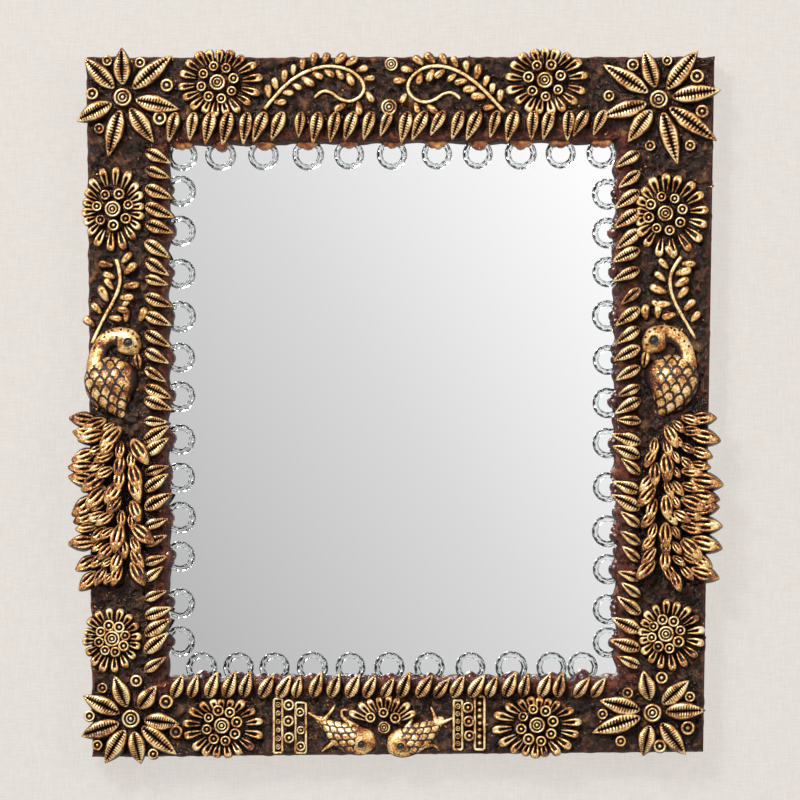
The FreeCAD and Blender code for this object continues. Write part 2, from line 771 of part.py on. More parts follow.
# Corner stars: petals round a ringed boss, with ring beads between them
star_boss = boss(star_boss_radius, star_boss_height)
star_bead = boss(star_bead_radius, star_bead_height)
for name, (middle_px, petals, beads_px) in stars.items():
    x, z = on_board(middle_px)
    nodes[name] = [lay_on_coat(star_boss, x, z, 0)]
    root = star_boss_radius + star_trough
    angles = sorted(angle for angle, reach_px in petals)
    for angle, reach_px in petals:
        length = reach_px * relief_pixel - root
        place = angles.index(angle)
        before = (angle - angles[place - 1]) % 360
        after = (angles[(place + 1) % len(angles)] - angle) % 360
        width = petal_width(root, length, min(before, after) / 2)
        petal = leaf(length, width, star_petal_height, True, lens_outline)
        direction = math.radians(angle)
        nodes[name].append(lay_on_coat(
            petal, x + root * math.cos(direction), z + root * math.sin(direction), angle,
        ))
    for bead_px in beads_px:
        bead_x, bead_z = beside(middle_px, bead_px)
        nodes[name].append(lay_on_coat(star_bead, bead_x, bead_z, 0))

# Daisies: a middle boss, a circle of drums and a crown of hairpin petals
daisy_boss = boss(daisy_boss_radius, daisy_boss_height)
drum = boss(drum_radius, drum_height)


def daisy_petal(reach):
    pitch = math.radians(360.0 / daisy_petal_count)
    width = min(daisy_petal_width, (reach * pitch - daisy_petal_gap) / (1 + pitch / 2))
    tail_width = min(daisy_petal_inner * pitch - daisy_petal_gap, width * (1 - petal_tail_share))
    return hairpin_petal(daisy_petal_inner, reach, width, tail_width, daisy_petal_height)


for name, (middle_px, reach_px) in daisies.items():
    x, z = on_board(middle_px)
    left, right, up, down = [pixels * relief_pixel for pixels in reach_px]
    nodes[name] = [lay_on_coat(daisy_boss, x, z, 0)]
    for number in range(drum_count):
        angle = 2 * math.pi * number / drum_count
        nodes[name].append(lay_on_coat(
            drum, x + drum_circle_radius * math.cos(angle), z + drum_circle_radius * math.sin(angle), 0,
        ))
    for number in range(daisy_petal_count):
        angle_deg = 360.0 * (number + 0.5) / daisy_petal_count
        cosine = math.cos(math.radians(angle_deg))
        sine = math.sin(math.radians(angle_deg))
        wide = right if cosine > 0 else left
        tall = up if sine > 0 else down
        reach = 1 / math.hypot(cosine / wide, sine / tall)
        nodes[name].append(lay_on_coat(daisy_petal(reach), x, z, angle_deg))


# Vine stem: a tapering ribbon along a smooth line, and the line itself
def stem_line(points_px):
    points = [vector(x, z, 0) for x, z in (beside(points_px[0], place) for place in points_px)]
    curve = Part.BSplineCurve()
    curve.interpolate(points)
    return curve


def side_of(curve, share, offset):
    parameter = curve.FirstParameter + share * (curve.LastParameter - curve.FirstParameter)
    point = curve.value(parameter)
    tangent = curve.tangent(parameter)[0]
    normal = vector(-tangent.y, tangent.x, 0)
    return point + normal * offset, tangent


def stem_ribbon(curve, steps):
    edges = []
    ends = []
    for sign in (1, -1):
        points = []
        for number in range(steps + 1):
            share = number / steps
            offset = (stem_width + (stem_end_width - stem_width) * share) / 2
            points.append(side_of(curve, share, sign * offset)[0])
        line = Part.BSplineCurve()
        line.interpolate(points)
        edges.append(line.toShape())
        ends.append((points[0], points[-1]))
    edges.append(Part.LineSegment(ends[0][0], ends[1][0]).toShape())
    edges.append(Part.LineSegment(ends[0][1], ends[1][1]).toShape())
    return Part.Face(Part.Wire(Part.__sortEdges__(edges))).extrude(vector(0, 0, stem_height))


bud = leaf(bud_length, bud_width, bud_height, False)
for name, (points_px, left_shares, right_shares) in vines.items():
    curve = stem_line(points_px)
    nodes[name] = [lay_on_coat(stem_ribbon(curve, 2 * len(points_px)), 0, 0, 0)]
    for sign, shares in ((1, left_shares), (-1, right_shares)):
        for share in shares:
            offset = stem_width / 2 + bud_stem_gap + bud_width / 2
            point, tangent = side_of(curve, share, sign * offset)
            heading = math.degrees(math.atan2(tangent.y, tangent.x)) + sign * bud_angle_deg
            nodes[name].append(lay_on_coat(bud, point.x, point.y, heading))

spiral_bead = boss(spiral_bead_radius, spiral_bead_height)
nodes["top_spiral_beads"] = []
for place_px in spiral_beads_px:
    x, z = on_board(place_px)
    nodes["top_spiral_beads"].append(lay_on_coat(spiral_bead, x, z, 0))


# Figure swelled round a spine: ellipses across the spine, cut flat where they meet the coat
def swelled_figure(spine_px):
    places = [beside(spine_px[0], place) for place in spine_px]
    outlines = []
    for number, (x, z) in enumerate(places):
        before = places[max(number - 1, 0)]
        after = places[min(number + 1, len(places) - 1)]
        run = math.atan2(after[1] - before[1], after[0] - before[0])
        half = spine_px[number][2] * relief_pixel
        middle = vector(x, coat_front, z)
        side = vector(-math.sin(run) * half, 0, math.cos(run) * half)
        rise = vector(0, -half * figure_depth_share, 0)
        ellipse = Part.Ellipse(middle + side, middle + rise, middle)
        outlines.append(Part.Wire([ellipse.toShape()]))
    body = Part.makeLoft(outlines, True, False)
    box = body.BoundBox
    front = block(box.XMin - cut_overrun, box.XMax + cut_overrun, coat_front, box.YMin - cut_overrun,
                  box.ZMin - cut_overrun, box.ZMax + cut_overrun)
    return body.common(front)


# Peacocks with an eye socket and a beak, and their tails
beak = leaf(beak_length, beak_width, beak_height, True)
feather = leaf(feather_length, feather_width, feather_height, True)
for name, (spine_px, eye_px, beak_px, beak_deg) in peacocks.items():
    body = swelled_figure(spine_px)
    x, z = beside(spine_px[0], eye_px)
    socket = rod(eye_radius, eye_depth + 2 * cut_overrun, x, body.BoundBox.YMin - cut_overrun, z, toward_wall)
    head_half = spine_px[-2][2] * relief_pixel * figure_depth_share
    floor = block(x - 2 * eye_radius, x + 2 * eye_radius, coat_front, coat_front - head_half + eye_depth,
                  z - 2 * eye_radius, z + 2 * eye_radius)
    body = body.cut(socket.cut(floor))
    x, z = beside(spine_px[0], beak_px)
    nodes[name] = [body, lay_on_coat(beak, x, z, beak_deg)]
for name, columns in tails.items():
    nodes[name] = []
    for (column_px, first_px, last_px, first_deg, last_deg), pitch in zip(columns, feather_pitches):
        x = across_board(column_px)
        z_first = down_board(first_px)
        row_length = z_first - down_board(last_px)
        count = 1 + math.floor(row_length / pitch)
        for number in range(count):
            share = number / (count - 1)
            turn_deg = first_deg + (last_deg - first_deg) * share
            nodes[name].append(lay_on_coat(feather, x, z_first - row_length * share, turn_deg))

# Fish with an eye hole and two tail fins
fish_fin = leaf(fish_fin_length, fish_fin_width, fish_fin_height, True)
for name, (spine_px, eye_px, fin_turns_deg) in fish.items():
    body = swelled_figure(spine_px)
    x, z = beside(spine_px[0], eye_px)
    hole = rod(fish_eye_radius, coat_thickness, x, body.BoundBox.YMin, z, toward_wall)
    nodes[name] = [body.cut(hole)]
    root_x, root_z = beside(spine_px[0], spine_px[-1])
    clear = spine_px[-1][2] * relief_pixel + fish_fin_gap
    for turn_deg in fin_turns_deg:
        turn = math.radians(turn_deg)
        nodes[name].append(lay_on_coat(
            fish_fin, root_x + clear * math.cos(turn), root_z + clear * math.sin(turn), turn_deg,
        ))

# Half daisy above the two fish noses: drums and a fan of petals
left_nose = on_board(fish["fish_left"][0][0])
right_nose = on_board(fish["fish_right"][0][0])
x = (left_nose[0] + right_nose[0]) / 2
z = (left_nose[1] + right_nose[1]) / 2 + half_daisy_rise
nodes["half_daisy"] = [lay_on_coat(daisy_boss, x, z, 0)]
for angle_deg in half_daisy_drum_angles_deg:
    drum_x = x + drum_circle_radius * math.cos(math.radians(angle_deg))
    drum_z = z + drum_circle_radius * math.sin(math.radians(angle_deg))
    nodes["half_daisy"].append(lay_on_coat(drum, drum_x, drum_z, 0))
for number in range(fan_petal_count):
    angle_deg = fan_start_deg + (fan_end_deg - fan_start_deg) * number / (fan_petal_count - 1)
    petal = hairpin_petal(daisy_petal_inner, fan_petal_reach, fan_petal_width,
                          fan_petal_width * petal_tail_share, daisy_petal_height)
    nodes["half_daisy"].append(lay_on_coat(petal, x, z, angle_deg))

# Bead panels: two upright bars with three ringed drums between them
for name, (bars_px, rows_px, drums_px) in bead_panels.items():
    nodes[name] = []
    z_high = down_board(rows_px[0])
    z_low = down_board(rows_px[1])
    for column_px in bars_px:
        x = beside(drums_px[0], (column_px, rows_px[0]))[0]
        half = panel_bar_width / 2
        bar_top = coat_front - panel_bar_height
        nodes[name].append(block(x - half, x + half, coat_front, bar_top, z_low, z_high))
    for drum_px in drums_px:
        x, z = beside(drums_px[0], drum_px)
        nodes[name].append(lay_on_coat(drum, x, z, 0))

os.makedirs("parts", exist_ok=True)
for name, solids in nodes.items():
    Part.makeCompound(solids).exportStep("parts/" + name + ".step")
print(len(nodes), "nodes,", sum(len(solids) for solids in nodes.values()), "solids")
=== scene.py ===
import math

import bpy
import numpy as np
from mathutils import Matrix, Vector, noise


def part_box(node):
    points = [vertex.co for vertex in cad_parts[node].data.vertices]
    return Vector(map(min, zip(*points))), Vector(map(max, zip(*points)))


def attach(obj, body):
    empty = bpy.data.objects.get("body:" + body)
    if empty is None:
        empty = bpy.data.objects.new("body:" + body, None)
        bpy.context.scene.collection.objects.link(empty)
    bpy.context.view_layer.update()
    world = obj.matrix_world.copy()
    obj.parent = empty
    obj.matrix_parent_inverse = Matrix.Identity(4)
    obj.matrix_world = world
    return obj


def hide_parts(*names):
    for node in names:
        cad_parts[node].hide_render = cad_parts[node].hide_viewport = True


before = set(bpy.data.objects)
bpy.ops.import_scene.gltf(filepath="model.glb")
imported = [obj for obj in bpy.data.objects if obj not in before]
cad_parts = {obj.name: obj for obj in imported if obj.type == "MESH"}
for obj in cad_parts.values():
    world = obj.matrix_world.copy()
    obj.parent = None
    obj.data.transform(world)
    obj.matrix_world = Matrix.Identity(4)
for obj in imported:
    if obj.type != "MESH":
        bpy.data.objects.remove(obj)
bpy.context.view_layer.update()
scene = bpy.context.scene
scene.view_settings.view_transform = "Standard"


# Wooden bars: four softwood bars, mitred at the corners and rebated behind for the glass.
# Front and edges are painted dark brown, and the paint ends in a ragged line on the raw back.
def add_node(tree, kind, inputs=None, **settings):
    node = tree.nodes.new(kind)
    for name, value in settings.items():
        setattr(node, name, value)
    for name, value in (inputs or {}).items():
        if isinstance(value, bpy.types.NodeSocket):
            tree.links.new(value, node.inputs[name])
        else:
            node.inputs[name].default_value = value
    return node.outputs


def srgb(red, green, blue):
    shares = [value / 255 for value in (red, green, blue)]
    return tuple(v / 12.92 if v < 0.04045 else ((v + 0.055) / 1.055) ** 2.4 for v in shares) + (1.0,)


def math_node(tree, operation, first, second=0.0):
    return add_node(tree, "ShaderNodeMath", {0: first, 1: second}, operation=operation)["Value"]


def plus(tree, first, second):
    return math_node(tree, "ADD", first, second)


def minus(tree, first, second):
    return math_node(tree, "SUBTRACT", first, second)


def times(tree, first, second):
    return math_node(tree, "MULTIPLY", first, second)


def weighed(tree, first, first_share, second, second_share):
    return plus(tree, times(tree, first, first_share), times(tree, second, second_share))


def fitted(tree, value, low, high, to_low=0.0, to_high=1.0):
    return add_node(tree, "ShaderNodeMapRange", {
        "Value": value, "From Min": low, "From Max": high, "To Min": to_low, "To Max": to_high})["Result"]


def colour_ramp(tree, factor, stops):
    node = tree.nodes.new("ShaderNodeValToRGB")
    tree.links.new(factor, node.inputs["Fac"])
    elements = node.color_ramp.elements
    while len(elements) < len(stops):
        elements.new(0.5)
    for element, (position, colour) in zip(elements, stops):
        element.position = position
        element.color = srgb(*colour)
    return node.outputs["Color"]


def object_coords(tree):
    return add_node(tree, "ShaderNodeTexCoord")["Object"]


def noise_of(tree, coords, scale, detail=3.0):
    return add_node(tree, "ShaderNodeTexNoise", {"Vector": coords, "Scale": scale, "Detail": detail})["Fac"]


def mixed(tree, factor, first, second):
    return add_node(tree, "ShaderNodeMix", {0: factor, 6: first, 7: second}, data_type="RGBA")[2]


def new_material(name, **values):
    material = bpy.data.materials.new(name)
    material.use_nodes = True
    tree = material.node_tree
    shader = tree.nodes["Principled BSDF"]
    for label, value in values.items():
        shader.inputs[label.replace("_", " ")].default_value = value
    return material, tree, shader.inputs


def bump(tree, shader, height, distance, strength=1.0):
    made = add_node(tree, "ShaderNodeBump", {"Height": height, "Distance": distance, "Strength": strength})
    tree.links.new(made["Normal"], shader["Normal"])


def new_group(name, inputs, outputs):
    group = bpy.data.node_groups.new(name, "ShaderNodeTree")
    for label, value in inputs.items():
        kind = "NodeSocketFloat" if isinstance(value, float) else "NodeSocketVector"
        group.interface.new_socket(label, in_out="INPUT", socket_type=kind).default_value = value
    for label, kind in outputs.items():
        group.interface.new_socket(label, in_out="OUTPUT", socket_type="NodeSocket" + kind)
    return group, group.nodes.new("NodeGroupInput").outputs, group.nodes.new("NodeGroupOutput").inputs


def dress(node, material):
    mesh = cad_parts[node].data
    mesh.materials.clear()
    mesh.materials.append(material)


wood_grain, given, result = new_group(
    "wood_grain", {"Along": (1.0, 1.0, 1.0)}, {"Color": "Color", "Height": "Float"})
stretched = add_node(wood_grain, "ShaderNodeMapping", {
    "Vector": object_coords(wood_grain), "Scale": given["Along"]})["Vector"]
fibres = noise_of(wood_grain, stretched, 900.0, 5.0)
rings = noise_of(wood_grain, stretched, 140.0, 2.0)
figure = weighed(wood_grain, fibres, 0.45, rings, 0.55)
wood_grain.links.new(colour_ramp(wood_grain, figure, (
    (0.30, (122, 86, 52)), (0.48, (168, 126, 82)), (0.68, (196, 158, 112)))), result["Color"])
wood_grain.links.new(figure, result["Height"])
paint_edge = (-0.0072, -0.0062)
paint_edge_wander = 0.002


def bar_finish(name, along):
    material, tree, shader = new_material(name, Specular_IOR_Level=0.0)
    coords = object_coords(tree)
    grain = add_node(tree, "ShaderNodeGroup", {"Along": along}, node_tree=wood_grain)
    depth = add_node(tree, "ShaderNodeSeparateXYZ", {"Vector": coords})["Y"]
    ragged = times(tree, minus(tree, noise_of(tree, coords, 160.0), 0.5), paint_edge_wander)
    bare = fitted(tree, plus(tree, depth, ragged), *paint_edge)
    paint = colour_ramp(tree, noise_of(tree, coords, 220.0, 4.0), (
        (0.3, (34, 20, 18)), (0.55, (62, 39, 34)), (0.75, (84, 56, 47))))
    tree.links.new(mixed(tree, bare, paint, grain["Color"]), shader["Base Color"])
    tree.links.new(fitted(tree, bare, 0.0, 1.0, 0.42, 0.78), shader["Roughness"])
    bump(tree, shader, grain["Height"], 0.0004, 0.6)
    return material


rail_finish = bar_finish("painted_rail_wood", (0.06, 1.0, 1.0))
stile_finish = bar_finish("painted_stile_wood", (1.0, 1.0, 0.06))
for node, finish in (("top_rail", rail_finish), ("bottom_rail", rail_finish),
                     ("left_stile", stile_finish), ("right_stile", stile_finish)):
    dress(node, finish)


# V-nails: folded strips of bright steel, driven across each mitre from the back.
# Two hold every corner, flush with the wood.
metal_wear, given, result = new_group(
    "metal_wear", {"Scale": 300.0, "Along": (1.0, 1.0, 1.0)}, {"Wear": "Float", "Roughness": "Float"})
brushed = add_node(metal_wear, "ShaderNodeMapping", {
    "Vector": object_coords(metal_wear), "Scale": given["Along"]})["Vector"]
scratches = noise_of(metal_wear, brushed, given["Scale"], 6.0)
stains = noise_of(metal_wear, object_coords(metal_wear), 90.0, 3.0)
metal_wear.links.new(fitted(metal_wear, stains, 0.42, 0.68), result["Wear"])
metal_wear.links.new(fitted(metal_wear, scratches, 0.25, 0.75, 0.22, 0.52), result["Roughness"])


def metal_finish(name, clean, stained, scale, along):
    material, tree, shader = new_material(name, Metallic=1.0)
    wear = add_node(tree, "ShaderNodeGroup", {"Scale": scale, "Along": along}, node_tree=metal_wear)
    tree.links.new(colour_ramp(tree, wear["Wear"], ((0.0, clean), (1.0, stained))), shader["Base Color"])
    tree.links.new(wear["Roughness"], shader["Roughness"])
    bump(tree, shader, wear["Roughness"], 0.0001, 0.4)
    return material


dress("corner_v_nails", metal_finish("nail_steel", (176, 178, 180), (118, 108, 98), 420.0, (1.0, 1.0, 1.0)))

# Mirror glass: float glass, silvered behind, laid in the rebate against the lip of the bars.
# It is clean, with the faintest waviness.
silver, tree, shader = new_material("silvered_glass", Metallic=1.0)
shader["Base Color"].default_value = srgb(252, 252, 252)
tree.links.new(fitted(tree, noise_of(tree, object_coords(tree), 30.0), 0.3, 0.7, 0.006, 0.014), shader["Roughness"])
dress("mirror_glass", silver)

# Backing panel: a sheet of brown hardboard that presses the glass forward, flush with the bars.
# Its face is smooth with pale fibres, and the edges are a little furry.
hardboard, tree, shader = new_material("hardboard", IOR=1.45)
coords = object_coords(tree)
specks = noise_of(tree, coords, 1400.0, 4.0)
clouds = noise_of(tree, coords, 26.0, 3.0)
tone = weighed(tree, specks, 0.6, clouds, 0.4)
tree.links.new(colour_ramp(tree, tone, (
    (0.34, (84, 58, 38)), (0.5, (116, 84, 56)), (0.66, (146, 112, 78)))), shader["Base Color"])
tree.links.new(fitted(tree, specks, 0.3, 0.7, 0.6, 0.85), shader["Roughness"])
bump(tree, shader, specks, 0.0002, 0.5)
dress("backing_panel", hardboard)

# Turn-buttons: four brass plates that turn on a screw and hold the panel in.
# Hangers: a zinc-plated strap folded round a wire ring, screwed to each side bar.
brass = metal_finish("button_brass", (206, 166, 92), (150, 108, 54), 600.0, (1.0, 1.0, 0.12))
for side in ("top", "bottom", "left", "right"):
    dress("turn_button_" + side, brass)
zinc = metal_finish("hanger_zinc", (186, 188, 188), (138, 136, 130), 500.0, (0.2, 1.0, 1.0))
wire = metal_finish("hanger_wire", (196, 197, 197), (150, 146, 140), 700.0, (1.0, 0.3, 1.0))
for side in ("left", "right"):
    dress("hanger_strap_" + side, zinc)
    dress("hanger_ring_" + side, wire)


# Screws: domed heads with a straight slot, four through the buttons and two through each strap.
# The heads face the wall, and the shanks go into the bars.
def new_mesh(name, points, faces, crests=None):
    mesh = bpy.data.meshes.new(name)
    mesh.from_pydata([tuple(point) for point in points], [], faces)
    mesh.polygons.foreach_set("use_smooth", [True] * len(mesh.polygons))
    if crests is not None:
        mesh.attributes.new("crest", "FLOAT", "POINT").data.foreach_set("value", np.array(crests, np.float32))
    mesh.update()
    return mesh


def loft_faces(rows, columns, start=0, closed=False, flipped=False):
    # Quads between rows of points that each close on themselves; flipped turns them over
    faces = []
    for row in range(rows if closed else rows - 1):
        here, there = start + row * columns, start + (row + 1) % rows * columns
        for column in range(columns):
            after = (column + 1) % columns
            face = (here + column, here + after, there + after, there + column)
            faces.append((face[0], face[3], face[2], face[1]) if flipped else face)
    return faces


groove_half = 0.45
filled_groove = (0.97, 0.9)
thin_end = 0.3


def paste_leaf(name, outline, section, groove, teeth=0.0):
    # A closed piece 1 long on X, 1 wide on Z and 1 high towards the room. Each outline row is a
    # place along it, the width and the height there; the section runs from the middle to the foot.
    across = [(-v, rise, crest) for v, rise, crest in reversed(section[1:])] + list(section)
    columns = len(across)
    points, crests = [(0, 0, 0), (1, 0, 0)], [0.1, 0.5]
    for number, (along, width, height) in enumerate(outline):
        grooved = groove[0] <= along <= groove[1]
        for v, rise, crest in across:
            inner = abs(v) < groove_half
            if inner and not grooved:
                rise, crest = filled_groove
            if inner and grooved and v and number % 2:
                v, rise, crest = v * (1 - teeth), min(1.0, rise + teeth * 0.6), min(1.0, crest + teeth)
            elif inner and grooved and v:
                rise, crest = rise - teeth * 0.2, crest * (1 - teeth)
            points.append((along, -height * rise, v * width / 2))
            crests.append(crest if height > thin_end else crest * 0.7)
    faces = loft_faces(len(outline), columns, 2, flipped=True)
    last = 2 + (len(outline) - 1) * columns
    for column in range(columns):
        after = (column + 1) % columns
        faces += [(0, 2 + column, 2 + after), (1, last + after, last + column)]
    return bpy.data.objects.new(name, new_mesh(name, points, faces, crests))


def turned_boss(name, profile, sides):
    # A closed turned piece of radius 1, 1 high towards the room; the profile runs from the middle out
    points, crests = [(0, -profile[0][1], 0)], [profile[0][2]]
    for out, rise, crest in profile[1:]:
        for number in range(sides):
            angle = 2 * math.pi * number / sides
            points.append((out * math.cos(angle), -rise, out * math.sin(angle)))
            crests.append(crest)
    faces = [(0, 1 + number, 1 + (number + 1) % sides) for number in range(sides)]
    faces += loft_faces(len(profile) - 1, sides, 1, flipped=True)
    foot = 1 + (len(profile) - 2) * sides
    faces.append(tuple(foot + number for number in reversed(range(sides))))
    return bpy.data.objects.new(name, new_mesh(name, points, faces, crests))


def new_tree(name, inputs):
    tree = bpy.data.node_groups.new(name, "GeometryNodeTree")
    tree.interface.new_socket("Geometry", in_out="INPUT", socket_type="NodeSocketGeometry")
    for label, kind in inputs.items():
        tree.interface.new_socket(label, in_out="INPUT", socket_type="NodeSocket" + kind)
    tree.interface.new_socket("Geometry", in_out="OUTPUT", socket_type="NodeSocketGeometry")
    return tree, tree.nodes.new("NodeGroupInput").outputs


def jitter(tree, spread, seed, offset):
    low = times(tree, spread, -1.0)
    return add_node(tree, "FunctionNodeRandomValue", {
        2: low, 3: spread, "Seed": plus(tree, seed, float(offset))}, data_type="FLOAT")[1]


def vector_of(tree, x=0.0, y=0.0, z=0.0):
    return add_node(tree, "ShaderNodeCombineXYZ", {"X": x, "Y": y, "Z": z})["Vector"]


def finish_tree(tree, parts):
    join = tree.nodes.new("GeometryNodeJoinGeometry")
    for part in parts:
        tree.links.new(part, join.inputs["Geometry"])
    tree.links.new(join.outputs["Geometry"], tree.nodes.new("NodeGroupOutput").inputs["Geometry"])


def lay_pieces(tree, given, points, turn, size, kept):
    # The shared end of each tree: a piece on every point, turned in the plane of the frame
    turned = plus(tree, turn, jitter(tree, given["Turn Jitter"], given["Seed"], 0))
    rotation = add_node(tree, "FunctionNodeEulerToRotation", {
        "Euler": vector_of(tree, y=times(tree, turned, -1.0))})["Rotation"]
    grown = plus(tree, jitter(tree, given["Size Jitter"], given["Seed"], 1), 1.0)
    scaled = add_node(tree, "ShaderNodeVectorMath", {0: size, "Scale": grown}, operation="SCALE")["Vector"]
    piece = add_node(tree, "GeometryNodeObjectInfo", {"Object": given["Piece"]})["Geometry"]
    laid = add_node(tree, "GeometryNodeInstanceOnPoints", {
        "Points": points, "Instance": piece, "Rotation": rotation, "Scale": scaled})["Instances"]
    solid = add_node(tree, "GeometryNodeRealizeInstances", {"Geometry": laid})["Geometry"]
    painted = add_node(tree, "GeometryNodeSetMaterial", {
        "Geometry": solid, "Material": given["Material"]})["Geometry"]
    finish_tree(tree, kept + [painted])


laying_inputs = {"Piece": "Object", "Material": "Material", "Seed": "Int",
                 "Turn Jitter": "Float", "Size Jitter": "Float"}

# Pieces at marked places: each point carries its own turn and size
laid_places, given = new_tree("laid_places", laying_inputs)
marked = {kind: add_node(laid_places, "GeometryNodeInputNamedAttribute", {"Name": label}, data_type=kind)[0]
          for label, kind in (("turn", "FLOAT"), ("size", "FLOAT_VECTOR"))}
lay_pieces(laid_places, given, given["Geometry"], marked["FLOAT"], marked["FLOAT_VECTOR"], [])


def grown_mesh(name, steps, base=None):
    holder = bpy.data.objects.new(name, base or bpy.data.meshes.new(name))
    scene.collection.objects.link(holder)
    for tree, values in steps:
        modifier = holder.modifiers.new(tree.name, "NODES")
        modifier.node_group = tree
        for item in tree.interface.items_tree:
            if item.in_out == "INPUT" and item.name in values:
                modifier[item.identifier] = values[item.name]
    graph = bpy.context.evaluated_depsgraph_get()
    mesh = bpy.data.meshes.new_from_object(
        holder.evaluated_get(graph), preserve_all_data_layers=True, depsgraph=graph)
    bpy.data.objects.remove(holder)
    mesh.name = name
    return mesh


def places_mesh(places):
    mesh = new_mesh("places", [place for place, turn, size in places], [])
    turns = np.array([turn for place, turn, size in places], np.float32)
    mesh.attributes.new("turn", "FLOAT", "POINT").data.foreach_set("value", turns)
    sizes = np.array([size for place, turn, size in places], np.float32)
    mesh.attributes.new("size", "FLOAT_VECTOR", "POINT").data.foreach_set("vector", sizes.ravel())
    return mesh


def laid(piece, material, places, seed=1, turn_jitter=0.0, size_jitter=0.0):
    values = {"Piece": piece, "Material": material, "Seed": seed,
              "Turn Jitter": turn_jitter, "Size Jitter": size_jitter}
    return grown_mesh(piece.name + "_laid", [(laid_places, values)], places_mesh(places))


def joined(meshes):
    points, faces, crests, owners, materials = [], [], [], [], []
    for mesh in meshes:
        start = len(points)
        points += [tuple(vertex.co) for vertex in mesh.vertices]
        faces += [tuple(start + v for v in polygon.vertices) for polygon in mesh.polygons]
        crest = mesh.attributes.get("crest")
        crests += [item.value for item in crest.data] if crest else [1.0] * len(mesh.vertices)
        for polygon in mesh.polygons:
            material = mesh.materials[polygon.material_index]
            if material not in materials:
                materials.append(material)
            owners.append(materials.index(material))
    made = new_mesh(meshes[0].name, points, faces, crests)
    for material in materials:
        made.materials.append(material)
    made.polygons.foreach_set("material_index", owners)
    return made


def make_piece(name, mesh, slot, *nodes):
    piece = bpy.data.objects.new(name, mesh)
    scene.collection.objects.link(piece)
    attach(piece, "frame")
    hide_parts(*nodes)


def make_relief(node, mesh):
    make_piece(node + "_gilded", mesh, "gilded_relief", node)


slotted_head = paste_leaf("slotted_head", (
    (0.02, 0.28, 0.25), (0.1, 0.6, 0.55), (0.25, 0.87, 0.85), (0.5, 1.0, 1.0), (0.75, 0.87, 0.85),
    (0.9, 0.6, 0.55), (0.98, 0.28, 0.25)), (
    (0.0, 0.45, 0.0), (0.13, 0.45, 0.0), (0.14, 1.0, 1.0), (0.5, 0.93, 1.0), (0.8, 0.7, 1.0),
    (0.98, 0.35, 1.0), (1.0, 0.0, 1.0)), (0.0, 1.0))
screw_steel = metal_finish("screw_steel", (190, 186, 174), (122, 112, 98), 800.0, (1.0, 1.0, 1.0))


def head_places(node, head, spots):
    # Each spot is a share of the way across and up the box of the screws, None for the middle line
    # of the board, and the turn of its slot. The unit head starts at its rim, so it is set back by
    # its radius along the slot.
    low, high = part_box(node)
    radius, places = head[0] / 2, []
    for share_x, share_z, turn in spots:
        x = low.x + radius + (high.x - low.x - 2 * radius) * share_x if share_x is not None else 0.0
        z = low.z + radius + (high.z - low.z - 2 * radius) * share_z if share_z is not None else 0.0
        places.append(((x - math.cos(turn) * radius, high.y + head[1], z - math.sin(turn) * radius), turn, head))
    return places


button_places = head_places("turn_button_screws", (0.0068, -0.0016, 0.0068), (
    (None, 1, 0.4), (None, 0, 1.9), (0, None, 2.6), (1, None, 1.1)))
hanger_places = head_places("hanger_screws", (0.0064, -0.0014, 0.0064), (
    (0, 1, 0.7), (0, 0, 2.2), (1, 1, 0.7), (1, 0, 2.2)))
make_piece("button_screw_heads", laid(slotted_head, screw_steel, button_places), "screw_steel", "turn_button_screws")
make_piece("hanger_screw_heads", laid(slotted_head, screw_steel, hanger_places), "screw_steel", "hanger_screws")

# Bumper pads: soft grey rubber domes stuck on the back at each corner.
# They keep the mirror level against the wall.
rubber, tree, shader = new_material("bumper_rubber", IOR=1.5)
dust = noise_of(tree, object_coords(tree), 500.0, 4.0)
tree.links.new(colour_ramp(tree, dust, ((0.35, (44, 43, 42)), (0.7, (74, 71, 68)))), shader["Base Color"])
tree.links.new(fitted(tree, dust, 0.3, 0.7, 0.6, 0.8), shader["Roughness"])
bump(tree, shader, dust, 0.0001, 0.4)
bumper_pad = turned_boss("bumper_pad", (
    (0.0, 1.0, 1), (0.6, 1.0, 1), (0.82, 0.94, 1), (0.93, 0.8, 1), (0.98, 0.5, 1), (1.0, 0.0, 1)), 28)
bumper_low, bumper_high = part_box("wall_bumpers")
bumper_radius = 0.007
bumper_size = (bumper_radius, -(bumper_high.y - bumper_low.y), bumper_radius)
bumper_inset = 0.017
board_corners = {
    "top_left": (-0.20205, 0.2338), "top_right": (0.21085, 0.2315),
    "bottom_left": (-0.19775, -0.2265), "bottom_right": (0.20285, -0.2238)}
bumper_places = [((x - math.copysign(bumper_inset, x), bumper_low.y, z - math.copysign(bumper_inset, z)),
                  0.0, bumper_size) for x, z in board_corners.values()]
make_piece("bumper_pads", laid(bumper_pad, rubber, bumper_places), "bumper_rubber", "wall_bumpers")

# Ground coat: a skin of plum-brown paste, pressed by hand over the front of the bars. It is lumpy and
# glossy, rolled over the outer edge, and runs down to the glass in a reddish lip. Crumbs of gilded
# paste stick to it. The finish of all the gilded relief is set up here too.
paste_skin, given, result = new_group(
    "paste_skin", {"Scale": 300.0}, {"Height": "Float", "Tone": "Float"})
coords = object_coords(paste_skin)
dabs = add_node(paste_skin, "ShaderNodeTexVoronoi", {
    "Vector": coords, "Scale": given["Scale"]}, feature="SMOOTH_F1")["Distance"]
fine = noise_of(paste_skin, coords, times(paste_skin, given["Scale"], 4.0), 4.0)
paste_skin.links.new(weighed(paste_skin, dabs, 0.8, fine, 0.25), result["Height"])
paste_skin.links.new(noise_of(paste_skin, coords, times(paste_skin, given["Scale"], 0.5), 3.0), result["Tone"])

